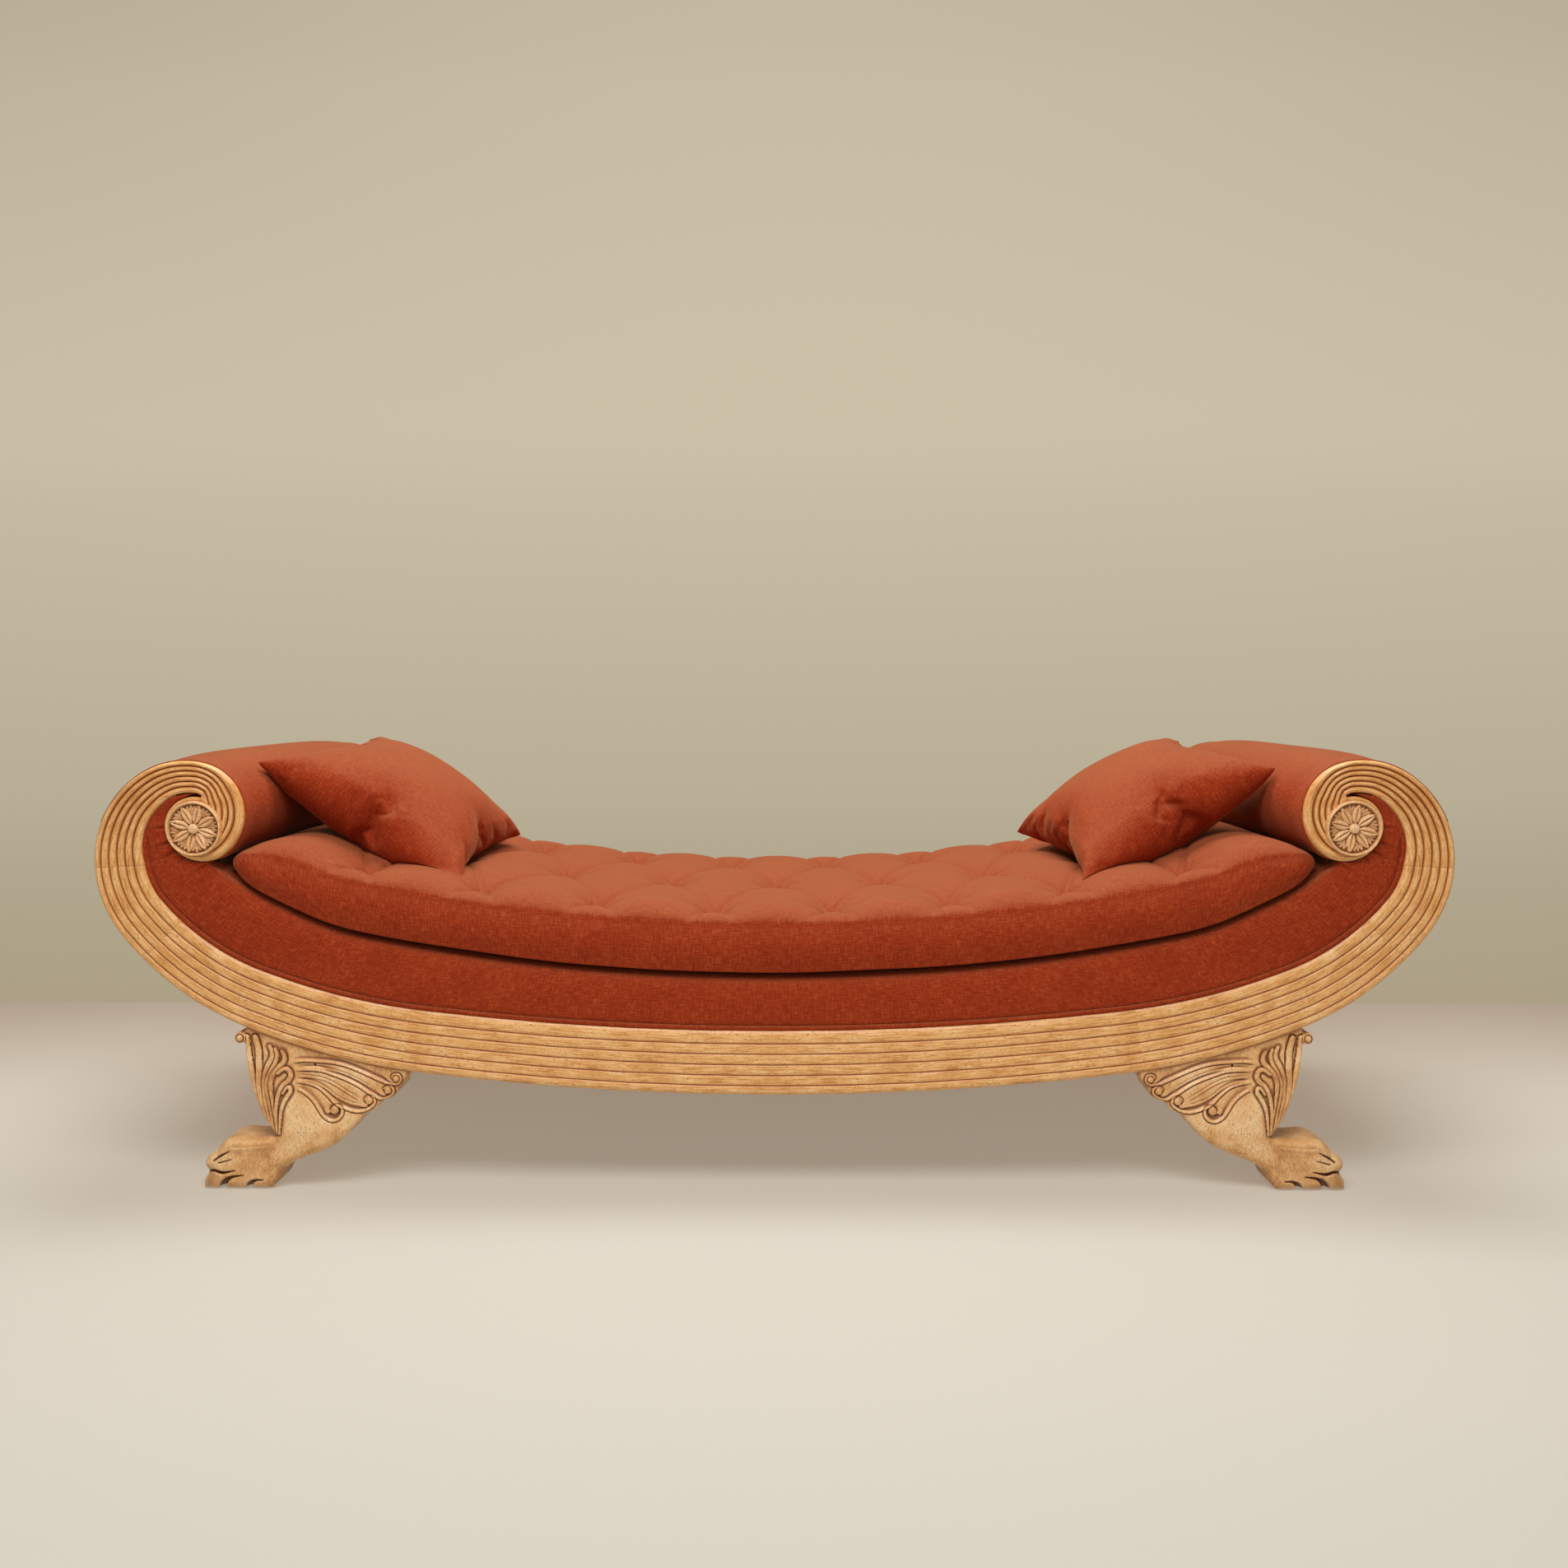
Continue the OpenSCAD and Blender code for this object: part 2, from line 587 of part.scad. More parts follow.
module deck_foam() {
    color(foam) layer(board_back_y + joint_gap, -board_back_y - joint_gap)
        polygon(band(cloth_thickness + joint_gap, deck_foam_thickness, deck_end));
}
border_face_y = front_y + border_setback;
deck_cover_end = deck_end - 0.5;
module deck_cover() {
    deck_cover_y = border_face_y + cloth_thickness + joint_gap;
    color(linen) layer(deck_cover_y, -deck_cover_y) polygon(band(0, cloth_thickness, deck_cover_end));
}

// Border: foam behind cloth, with piping in the corner between cloth and rail
piping_y = border_face_y + piping_d / 3;
piping_ledge_y = piping_y + piping_d / 2 + joint_gap;
piping_tip = 170;
border_front_tip = [490, 165];
border_back_tip = [525, 195];
function border_outline(tip, rail_gap, deck_gap) = both_sides(concat(deck_line(deck_gap),
    ring_line(tip[0]),
    [for (h = reversed(headings_between(edge_headings, 0, tip[1]))) inner_point(h, rail_gap)]));
module border_pad() {
    color(foam) {
        layer(piping_ledge_y, rail_back_y)
            polygon(border_outline(border_back_tip, joint_gap, cloth_thickness + joint_gap));
        layer(border_face_y + cloth_thickness + joint_gap, piping_ledge_y)
            polygon(border_outline(border_front_tip, piping_d + 2 * joint_gap, cloth_thickness + joint_gap));
    }
}
module border_cover() {
    color(linen) layer(border_face_y, border_face_y + cloth_thickness)
        polygon(border_outline(border_front_tip, piping_d + 2 * joint_gap, 0));
}
// A round cord of cloth along a line of points in X and Z
module cord_along(line, y, d, sides = 8) {
    last = len(line) - 1;
    points = [for (i = [0 : last], k = [0 : sides - 1])
        let (run = line[min(i + 1, last)] - line[max(i - 1, 0)],
            out = cos(360 * k / sides) * d / 2 * [-run[1], run[0]] / norm(run))
        [line[i][0] + out[0], y + sin(360 * k / sides) * d / 2, line[i][1] + out[1]]];
    walls = [for (i = [0 : last - 1], k = [0 : sides - 1])
        let (a = i * sides + k, b = i * sides + (k + 1) % sides)
        each [[a, a + sides, b], [b, a + sides, b + sides]]];
    caps = [for (k = [1 : sides - 2])
        each [[0, k, k + 1], [last * sides, last * sides + k + 1, last * sides + k]]];
    polyhedron(points, concat(walls, caps));
}
module piping() {
    half = [for (h = headings_between(edge_headings, 0, piping_tip)) inner_point(h, piping_d / 2 + joint_gap)];
    color(linen) cord_along(concat([for (p = reversed(mirrored(half))) if (p[0] < 0) p], half),
        piping_y, piping_d);
}

// Ends: boards and cloth follow the rails' outer edge and wrap the rolls
cover_start = 25;
cover_end = 345;
board_end = 148;
roll_start = 150;
roll_top_heading = 180;
roll_inner_heading = 270;
roll_tip = [500, 185];
bulge_shares = [[90, 0], [150, 1], [250, 1], [330, 0]];
function outside_point(h, depth) = inset_point(h, depth - roll_bulge * lookup(h, bulge_shares));
function outside_band(low, high, depth, thickness) = let (list = headings_between(edge_headings, low, high))
    concat([for (h = list) outside_point(h, depth)], [for (h = reversed(list)) outside_point(h, depth + thickness)]);
module between_rails() {
    layer(rail_back_y + joint_gap, -rail_back_y - joint_gap) children();
}
module outside_board() {
    color(beech) between_rails()
        polygon(outside_band(cover_start, board_end, cloth_thickness + cover_gap, outside_board_thickness));
}
module outside_cover() {
    color(linen) between_rails() polygon(outside_band(cover_start, cover_end, 0, cloth_thickness));
}
module roll_pad() {
    outside = headings_between(edge_headings, roll_start, roll_tip[0]);
    inside = headings_between(edge_headings, roll_start, roll_tip[1]);
    color(foam) between_rails() difference() {
        polygon(concat([for (h = outside) outside_point(h, cloth_thickness + cover_gap)],
            [for (h = reversed(inside)) inner_point(h)]));
        translate(eye) circle(d = roll_core_d + joint_gap);
    }
}
dust_cover_depth = 3;
dust_cover_end = 24;
module dust_cover() {
    list = headings_between(edge_headings, 0, dust_cover_end);
    color("dimgray") difference() {
        between_rails() polygon(both_sides(concat([for (h = list) inset_point(h, dust_cover_depth)],
            [for (h = reversed(list)) inset_point(h, dust_cover_depth + dust_cover_thickness)])));
        for (side = [0, 1], end = [0, 1])
            mirror([side, 0, 0]) mirror([0, end, 0])
                translate([leg_toe_x - leg_reach - overrun, rail_back_y, rail_bottom_z])
                    cube([(1 - leg_top_share) * leg_reach + 2 * overrun, leg_back_y - rail_back_y + overrun,
                        haunch_top_z]);
    }
}

// Mattress: a boxed cushion on the deck's curve, sewn down in staggered tufts
mattress_half = outside_point(roll_inner_heading, 0)[0] + mattress_tuck;
mattress_y = front_y + mattress_setback + mattress_depth / 2;
nose_length = 52;
nose_height = 24;
nose_corner = 24;
nose_power = 1.8;
tuft_columns = 7;
tuft_row_shift = -18;
// How full the nose is at a distance from mid length, from 1 down to 0 at its tip
function fullness(x) = let (share = (abs(x) - mattress_half + nose_length) / nose_length)
    share <= 0 ? 1 : 1 - pow(min(1, share), nose_power);
// Height of the puffs between the tufts, 0 at a tuft and 1 between the tufts
puff_power = 0.45;
tuft_width_share = 0.22;
function lattice(x, y) = let (p = x / tuft_pitch + y / (2 * tuft_row_pitch),
    q = x / tuft_pitch - y / (2 * tuft_row_pitch))
    pow(abs(sin(180 * p) * sin(180 * q)), puff_power);
function nearest_tuft(x, y) = let (shift = abs(y) > tuft_row_pitch / 2 ? tuft_pitch / 2 : 0,
    row = abs(y) > tuft_row_pitch / 2 ? sign(y) * tuft_row_pitch : 0,
    reach = (tuft_columns - (shift > 0 ? 0 : 1)) / 2,
    column = max(-reach, min(reach, round((x - shift) / tuft_pitch + (shift > 0 ? 1 / 2 : 0))
        - (shift > 0 ? 1 / 2 : 0))))
    norm([x - column * tuft_pitch, y - row]);
function puff(x, y) = abs(y) <= tuft_row_pitch && abs(x) <= tuft_pitch * tuft_columns / 2
    ? lattice(x, y) : 1 - exp(-pow(nearest_tuft(x, y) / (tuft_width_share * tuft_pitch), 2));
crown_power = 8;
function crown(y) = mattress_edge_height + (mattress_crown_height - mattress_edge_height)
    * (1 - pow(min(1, 2 * abs(y) / mattress_depth), crown_power));
function mattress_top(x, y) = let (f = fullness(x), edge = between(nose_height, mattress_edge_height, f))
    edge + f * f * (crown(y) - mattress_edge_height - tuft_depth * (1 - puff(x, y - tuft_row_shift)));
// Outline of a section: front face, then places across the top as shares of a row pitch
face_shares = [[0.02, 0], [0, 0.1], [-0.004, 0.5], [0, 0.86], [0.014, 0.98]];
top_row_shares = [-1.23, -1, -0.75, -0.5, -0.25, 0, 0.25, 0.5, 0.75, 1, 1.28];
bottom_row_shares = [1, 0, -1];
function row_y(share) = tuft_row_shift + share * tuft_row_pitch;
function section(x) = let (f = fullness(x), half = mattress_depth / 2 - nose_corner * (1 - f),
    foot = soft_gap + nose_height * (1 - f), edge = between(nose_height, mattress_edge_height, f),
    face = [for (s = face_shares) [s[0] * mattress_depth - half, between(foot, edge, s[1])]])
    concat(face, [for (s = top_row_shares) [row_y(s), mattress_top(x, row_y(s))]],
        reversed([for (p = face) [-p[0], p[1]]]),
        [for (s = bottom_row_shares) [row_y(s), foot]]);
nose_steps = [0, 0.35, 0.62, 0.82, 0.94, 0.992];
columns_per_tuft = 4;
column_pitch = tuft_pitch / columns_per_tuft;
column_count = floor((mattress_half - nose_length) / column_pitch - nose_steps[1]);
half_columns = concat([for (i = [1 : column_count]) i * column_pitch],
    [for (s = nose_steps) mattress_half - nose_length * (1 - s)]);
columns = concat([for (x = reversed(half_columns)) -x], [0], half_columns);
module mattress_form() {
    sections = [for (x = columns) section(x)];
    count = len(sections[0]);
    last = len(columns) - 1;
    points = [for (i = [0 : last], p = sections[i])
        [columns[i], mattress_y + p[0], deck_height(columns[i]) + p[1]]];
    walls = [for (i = [0 : last - 1], k = [0 : count - 1])
        let (a = i * count + k, b = i * count + (k + 1) % count)
        each [[a, b, a + count], [b, b + count, a + count]]];
    caps = [for (k = [1 : count - 2])
        each [[0, k + 1, k], [last * count, last * count + k, last * count + k + 1]]];
    polyhedron(points, concat(walls, caps));
}
filling_inset = 30;
filling_foot = 8;
filling_end_share = 0.86;
function filling_outline(gap) = let (reach = filling_end_share * mattress_half,
    list = headings_between(deck_headings, 0, deck_heading_at(reach)),
    top = mattress_edge_height - mattress_cover_thickness)
    both_sides(concat([for (h = list) deck_point(h) + [0, top + gap]],
        [for (h = reversed(list)) deck_point(h) + [0, filling_foot - gap]]));
module filling_block(gap) {
    layer(mattress_y - mattress_depth / 2 + filling_inset - gap, mattress_y + mattress_depth / 2 - filling_inset + gap)
        polygon(filling_outline(gap));
}
// The cover closes with a zip at the back, drawn as a slot
zip_length = 300;
zip_height = 4;
module zip_slot() {
    slot_y = mattress_y + mattress_depth / 2 - filling_inset - overrun;
    translate([-zip_length / 2, slot_y, deck_z + mattress_edge_height / 2])
        cube([zip_length, 2 * filling_inset, zip_height]);
}
module mattress() {
    color(linen) difference() {
        mattress_form();
        filling_block(joint_gap);
        zip_slot();
    }
}
module mattress_filling() {
    color(foam) filling_block(0);
}

// Pillows: crowned squares with knife edges that lean from the mattress onto the rolls
pillow_steps = 7;
pillow_draw = 0.05;
pillow_fill_power = 0.45;
pillow_rise_share = 0.6;
pillow_lean = 5;
pillow_top_share = 0.2;
// Places as shares of the half length and of the depth, and turns about Z
left_pillow = [0.624, -0.048, 1];
right_pillow = [0.615, -0.032, 4];
pillow_cells = 2 * pillow_steps;
function pillow_share(i) = sin(90 * (i / pillow_steps - 1));
function pillow_height(u, v) = pillow_thickness / 2 * pow(max(0, (1 - u * u) * (1 - v * v)), pillow_fill_power);
function turned_x(p, a) = [p[0], p[1] * cos(a) - p[2] * sin(a), p[1] * sin(a) + p[2] * cos(a)];
function turned_y(p, a) = [p[0] * cos(a) + p[2] * sin(a), p[1], p[2] * cos(a) - p[0] * sin(a)];
function turned_z(p, a) = [p[0] * cos(a) - p[1] * sin(a), p[0] * sin(a) + p[1] * cos(a), p[2]];
function pillow_point(place, u, v, side) = let (half = pillow_side / 2,
    flat = [half * u * (1 - pillow_draw * (1 - v * v)), half * v * (1 - pillow_draw * (1 - u * u)),
        side * pillow_height(u, v)],
    x = place[0] * half_length,
    p = turned_z(turned_y(turned_x(flat, pillow_lean), -pillow_tilt), place[2])
        + [x, place[1] * overall_depth, deck_height(x) + mattress_crown_height
            + pillow_rise_share * pillow_thickness])
    [p[0], p[1], max(p[2], pillow_floor(p[0])
        + (side > 0 ? pillow_top_share * pillow_height(u, v) : 0))];
// Lowest place for a pillow's point: on the mattress or on the roll
function pillow_floor(x) = soft_gap + max(roll_height(x),
    deck_height(min(x, mattress_half - nose_length)) + mattress_crown_height);
function roll_height(x, low = roll_top_heading, high = roll_inner_heading, steps = 24) = let (middle = (low + high) / 2)
    x < outside_point(high, 0)[0] ? 0 : steps == 0 ? outside_point(middle, 0)[1]
        : outside_point(middle, 0)[0] > x ? roll_height(x, middle, high, steps - 1)
            : roll_height(x, low, middle, steps - 1);
module pillow(place) {
    count = pillow_cells + 1;
    inner = pillow_cells - 1;
    top = [for (i = [0 : pillow_cells], j = [0 : pillow_cells])
        pillow_point(place, pillow_share(i), pillow_share(j), 1)];
    under = [for (i = [1 : inner], j = [1 : inner])
        pillow_point(place, pillow_share(i), pillow_share(j), -1)];
    function at(i, j, side) = side > 0 || i % pillow_cells == 0 || j % pillow_cells == 0
        ? i * count + j : count * count + (i - 1) * inner + j - 1;
    faces = [for (side = [1, -1], i = [0 : inner], j = [0 : inner])
        let (a = at(i, j, side), b = at(i + 1, j, side), c = at(i + 1, j + 1, side), d = at(i, j + 1, side),
            even = (i < pillow_steps) == (j < pillow_steps),
            pair = even ? [[a, c, b], [a, d, c]] : [[a, d, b], [b, d, c]])
        each side > 0 ? pair : [for (f = pair) reversed(f)]];
    color(linen) polyhedron(concat(top, under), faces);
}

rail_middle();  // front_rail
mirror([1, 0, 0]) sweep();  // front_sweep_left
sweep();  // front_sweep_right
mirror([1, 0, 0]) shoulder();  // front_shoulder_left
shoulder();  // front_shoulder_right
mirror([1, 0, 0]) volute();  // front_volute_left
volute();  // front_volute_right
mirror([0, 1, 0]) rail_middle();  // rear_rail
mirror([0, 1, 0]) mirror([1, 0, 0]) sweep();  // rear_sweep_left
mirror([0, 1, 0]) sweep();  // rear_sweep_right
mirror([0, 1, 0]) mirror([1, 0, 0]) shoulder();  // rear_shoulder_left
mirror([0, 1, 0]) shoulder();  // rear_shoulder_right
mirror([0, 1, 0]) mirror([1, 0, 0]) volute();  // rear_volute_left
mirror([0, 1, 0]) volute();  // rear_volute_right
rail_dowels();
mirror([1, 0, 0]) rosette();  // front_rosette_left
rosette();  // front_rosette_right
mirror([0, 1, 0]) mirror([1, 0, 0]) rosette();  // rear_rosette_left
mirror([0, 1, 0]) rosette();  // rear_rosette_right
mirror([1, 0, 0]) leg();  // front_leg_left
leg();  // front_leg_right
mirror([0, 1, 0]) mirror([1, 0, 0]) leg();  // rear_leg_left
mirror([0, 1, 0]) leg();  // rear_leg_right
leg_bolts();
leg_washers();
leg_inserts();
mirror([1, 0, 0]) cross_rail_end();  // cross_rail_left
cross_rail_middle();
cross_rail_end();  // cross_rail_right
mirror([1, 0, 0]) stretcher(end_stretcher_heading);  // end_stretcher_left
stretcher(end_stretcher_heading);  // end_stretcher_right
mirror([1, 0, 0]) stretcher(shoulder_stretcher_heading);  // shoulder_stretcher_left
stretcher(shoulder_stretcher_heading);  // shoulder_stretcher_right
mirror([1, 0, 0]) roll_core();  // roll_core_left
roll_core();  // roll_core_right
border_board();  // front_border_board
mirror([0, 1, 0]) border_board();  // rear_border_board
ledger();  // front_ledger
mirror([0, 1, 0]) ledger();  // rear_ledger
deck_slats();
deck_screws();
deck_foam();
deck_cover();
border_pad();  // front_border_pad
mirror([0, 1, 0]) border_pad();  // rear_border_pad
border_cover();  // front_border_cover
mirror([0, 1, 0]) border_cover();  // rear_border_cover
piping();  // front_piping
mirror([0, 1, 0]) piping();  // rear_piping
mirror([1, 0, 0]) outside_board();  // outside_board_left
outside_board();  // outside_board_right
mirror([1, 0, 0]) roll_pad();  // roll_pad_left
roll_pad();  // roll_pad_right
mirror([1, 0, 0]) outside_cover();  // outside_cover_left
outside_cover();  // outside_cover_right
dust_cover();
mattress();
mattress_filling();
mirror([1, 0, 0]) pillow(left_pillow);  // pillow_left
pillow(right_pillow);  // pillow_right
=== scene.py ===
"""A recamier: a scroll-ended daybed in carved, waxed wood and rust-coloured linen.

Metres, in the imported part's frame: +X along the length, the front faces -Y, +Z up.
"""

import math

import bmesh
import bpy
import numpy as np
from mathutils import Matrix, Vector


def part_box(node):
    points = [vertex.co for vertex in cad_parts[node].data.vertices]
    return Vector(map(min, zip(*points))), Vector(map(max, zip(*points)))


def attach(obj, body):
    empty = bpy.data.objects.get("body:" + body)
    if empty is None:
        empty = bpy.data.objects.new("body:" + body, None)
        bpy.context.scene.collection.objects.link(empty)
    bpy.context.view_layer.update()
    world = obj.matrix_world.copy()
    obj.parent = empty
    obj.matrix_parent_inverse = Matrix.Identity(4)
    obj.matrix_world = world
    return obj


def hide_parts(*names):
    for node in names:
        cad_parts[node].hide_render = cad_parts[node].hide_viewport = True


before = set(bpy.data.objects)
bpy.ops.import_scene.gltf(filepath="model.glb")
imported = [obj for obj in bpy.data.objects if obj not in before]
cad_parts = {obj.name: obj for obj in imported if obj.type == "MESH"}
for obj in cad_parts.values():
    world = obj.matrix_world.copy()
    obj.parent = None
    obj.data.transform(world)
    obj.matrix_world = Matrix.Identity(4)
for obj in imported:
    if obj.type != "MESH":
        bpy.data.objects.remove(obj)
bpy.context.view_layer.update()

# Reeded rails
# The frame's front and rear are each glued up from seven lengths of solid wood, sawn to
# the curve, run with rounded reeds and carved by hand where they turn into the volutes.
# Dowels hold the joints, which show as fine lines across the reeds.
MM = 0.001
RAIL_Z, VOLUTE_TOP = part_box("front_rail")[0].z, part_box("front_volute_right")[1].z
HALF_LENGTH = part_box("front_volute_right")[1].x
FRONT_Y, RAIL_BACK_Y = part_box("front_rail")[0].y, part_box("front_rail")[1].y
RAIL_WIDTH = 109 * MM
REED_DEPTH = 4.6 * MM
EDGE_ROUND = 7 * MM
JOINT_BEVEL = 0.15 * MM
# Points nearer than SEAM are joined, and those of a mirrored piece's two halves nearer than
# MIRROR_SEAM
SEAM, MIRROR_SEAM = 0.01 * MM, 0.05 * MM
# Tangent arcs of the outer edge: heading swept and radius as a share of the half length
EDGE_ARCS = [(7, 4.22), (15, 1.06), (30, 0.437), (33, 0.182), (61, 0.155),
             (46, 0.126), (66, 0.075), (63, 0.0766), (112, 0.0554), (122, 0.0436)]
WIDTH_SHARES = [(0, 1), (20, 0.925), (50, 0.84), (90, 0.775), (130, 0.62), (170, 0.5),
                (190, 0.475), (211, 0.487), (240, 0.58), (260, 0.6), (300, 0.62)]
# Grooves between the reeds as shares of the width: along the rail, and in the volute
REED_SHARES = [0.15, 0.31, 0.475, 0.64, 0.8]
VOLUTE_REED_SHARES = [0.24, 0.39, 0.54, 0.7, 0.85]
RAIL_JOINTS = [0, 9, 46, 87]
VOLUTE_CLOSE, VOLUTE_END = 211, 555
EYE_SHARES = (0.8482, 0.8008)
ROSETTE_R = (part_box("front_rosette_right")[1].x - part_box("front_rosette_right")[0].x) / 2


def lookup(table, x):
    """Value at x of a table of pairs, straight between its rows."""
    return float(np.interp(x, [row[0] for row in table], [row[1] for row in table]))


def arc_point(arcs, heading):
    """Where a chain of tangent arcs, from the origin along +X, has turned to a heading."""
    x = z = turned = 0.0
    for sweep, radius in arcs:
        turn = min(sweep, heading - turned)
        a, b = math.radians(turned), math.radians(turned + turn)
        x += radius * (math.sin(b) - math.sin(a))
        z += radius * (math.cos(a) - math.cos(b))
        turned += turn
        if turned >= heading:
            break
    return x, z


SCALE_X = HALF_LENGTH / arc_point(EDGE_ARCS, 90)[0]
SCALE_Z = (VOLUTE_TOP - RAIL_Z) / arc_point(EDGE_ARCS, 180)[1]
EYE = Vector((EYE_SHARES[0] * HALF_LENGTH, RAIL_Z + EYE_SHARES[1] * (VOLUTE_TOP - RAIL_Z)))


def edge_point(h, depth=0.0):
    """X and Z on the rails' outer edge at a heading in degrees, or that far inside it."""
    x, z = arc_point(EDGE_ARCS, h)
    slope = math.atan2(SCALE_Z * math.sin(math.radians(h)), SCALE_X * math.cos(math.radians(h)))
    return Vector((x * SCALE_X - depth * math.sin(slope),
                   RAIL_Z + z * SCALE_Z + depth * math.cos(slope)))


def to_disc(h):
    """Depth at which the inward normal at a heading meets the rosette's disc."""
    start, ahead = edge_point(h), edge_point(h, 1.0) - edge_point(h)
    along = (EYE - start).dot(ahead)
    off = (EYE - start).length_squared - along ** 2
    reach = ROSETTE_R - 2 * MM
    return along - math.sqrt(max(reach ** 2 - off, 0))


def rail_width(h):
    """Width of the rail at a heading. In the volute it runs in to the rosette's disc."""
    if h < VOLUTE_CLOSE:
        return RAIL_WIDTH * lookup(WIDTH_SHARES, h)
    return max(to_disc(h), 2 * MM)


def reed_lines(h):
    """Depths of the edges of the six reeds, from the outer edge inwards."""
    width = RAIL_WIDTH * lookup(WIDTH_SHARES, h)
    turned = min(max((h - 190) / 45, 0), 1)
    lines = [width * (a + (b - a) * turned) for a, b in zip(REED_SHARES, VOLUTE_REED_SHARES)]
    limit = rail_width(h)
    return [0.0] + [min(line, limit) for line in lines] + [limit]


REED_POINTS, BACK_POINTS = 10, 6
# Flat reeds turn tubular from one heading on, over that many degrees. None is deeper than a share
# of its width.
TUBULAR_START, TUBULAR_RUN, REED_DEPTH_SHARE = 20, 100, 0.62
BACK_SOFTNESS = 3 * MM


def rail_section(h, step):
    """Depth, Y and how deep in a groove, for one step round a rail's section."""
    lines, back = reed_lines(h), BACK_POINTS
    width = lines[-1]
    front_steps = 6 * REED_POINTS
    if step <= front_steps:                      # across the reeds, from inside to outside
        reed, place = divmod(front_steps - step, REED_POINTS)
        if reed == 6:
            reed, place = 5, REED_POINTS
        low, high = lines[reed], lines[reed + 1]
        share = 0.5 - 0.5 * math.cos(math.pi * place / REED_POINTS)
        across = 2 * share - 1
        tubular = min(max((h - TUBULAR_START) / TUBULAR_RUN, 0), 1)
        depth = min(REED_DEPTH, REED_DEPTH_SHARE * (high - low)) * (0.65 + 0.35 * tubular)
        sag = depth * abs(across) ** (7.5 - 5.5 * tubular)
        groove = abs(across) ** (8 - 5.5 * tubular) * (0.8 + 0.2 * tubular)
        if reed == 0 and across < 0:             # the outer corner is rounder than a groove
            sag, groove = EDGE_ROUND * abs(across) ** 2.2, 0.25 * abs(across) ** 4
        if reed == 5 and across > 0 and h < VOLUTE_CLOSE:
            sag, groove = EDGE_ROUND * 0.7 * abs(across) ** 2.2, 0.3 * abs(across) ** 4
        return low + (high - low) * share, FRONT_Y + sag, groove
    step -= front_steps
    y_front, soft = FRONT_Y + EDGE_ROUND, BACK_SOFTNESS
    if step < back:                              # along the outer edge to the back
        return 0.0, y_front + (RAIL_BACK_Y - soft - y_front) * step / (back - 1), 0.0
    step -= back
    if step < back:                              # across the back
        return soft + (width - 2 * soft) * step / (back - 1), RAIL_BACK_Y, 0.2
    step -= back
    y_front = FRONT_Y + (EDGE_ROUND * 0.7 if h < VOLUTE_CLOSE else REED_DEPTH)
    return width, RAIL_BACK_Y - soft - (RAIL_BACK_Y - soft - y_front) * step / (back - 1), 0.3


SECTION_STEPS = 6 * REED_POINTS + 3 * BACK_POINTS


def grid_points(bm, columns, rows):
    """Adds a grid to a bmesh, and gives its points, each with its column and its row."""
    made = bmesh.ops.create_grid(bm, x_segments=columns, y_segments=rows, size=0.5)["verts"]
    return [(v, round((v.co.x + 0.5) * columns), round((v.co.y + 0.5) * rows)) for v in made]


def close_ends(bm, seam):
    """Joins points closer than the seam, fills the open loops and turns every face outwards."""
    bmesh.ops.remove_doubles(bm, verts=bm.verts, dist=seam)
    bmesh.ops.holes_fill(bm, edges=[e for e in bm.edges if e.is_boundary], sides=0)
    bmesh.ops.recalc_face_normals(bm, faces=bm.faces)


def flip(bm, mirror_x, mirror_y):
    """Moves a right-hand piece to the left, or a front one to the rear."""
    for axis, wanted in enumerate((mirror_x, mirror_y)):
        if wanted:
            for v in bm.verts:
                v.co[axis] = -v.co[axis]


def make_piece(bm, name, material, body, replaced):
    """Stores a bmesh as a finished piece that rides on a body and stands for CAD nodes."""
    mesh = bpy.data.meshes.new(name)
    bm.to_mesh(mesh)
    bm.free()
    mesh.materials.append(material)
    mesh.polygons.foreach_set("use_smooth", [True] * len(mesh.polygons))
    piece = bpy.data.objects.new(name, mesh)
    bpy.context.scene.collection.objects.link(piece)
    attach(piece, body)
    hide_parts(*replaced)
    return piece


def linear(hex_colour):
    """sRGB hex to the linear colour that shaders take."""
    parts = [int(hex_colour[i:i + 2], 16) / 255 for i in (1, 3, 5)]
    return [p / 12.92 if p <= 0.04045 else ((p + 0.055) / 1.055) ** 2.4 for p in parts] + [1.0]


def add(tree, kind, links=None, ramp=None, **settings):
    """Adds a node, with its settings, its inputs as values or links, and its ramp's colours."""
    made = tree.nodes.new(kind)
    for key, value in settings.items():
        setattr(made, key, value)
    for socket, source in (links or {}).items():
        if isinstance(source, bpy.types.NodeSocket):
            tree.links.new(source, made.inputs[socket])
        else:
            made.inputs[socket].default_value = source
    if ramp:
        stops = made.color_ramp.elements
        while len(stops) < len(ramp):
            stops.new(0.5)
        for stop, (place, colour) in zip(stops, ramp):
            stop.position = place
            stop.color = linear(colour)
    return made


def new_material(name):
    """A material with nothing but a Principled shader, with its node tree and that shader."""
    made = bpy.data.materials.new(name)
    made.use_nodes = True
    tree = made.node_tree
    tree.nodes.clear()
    shader = tree.nodes.new("ShaderNodeBsdfPrincipled")
    output = tree.nodes.new("ShaderNodeOutputMaterial")
    tree.links.new(shader.outputs[0], output.inputs[0])
    return made, tree, shader


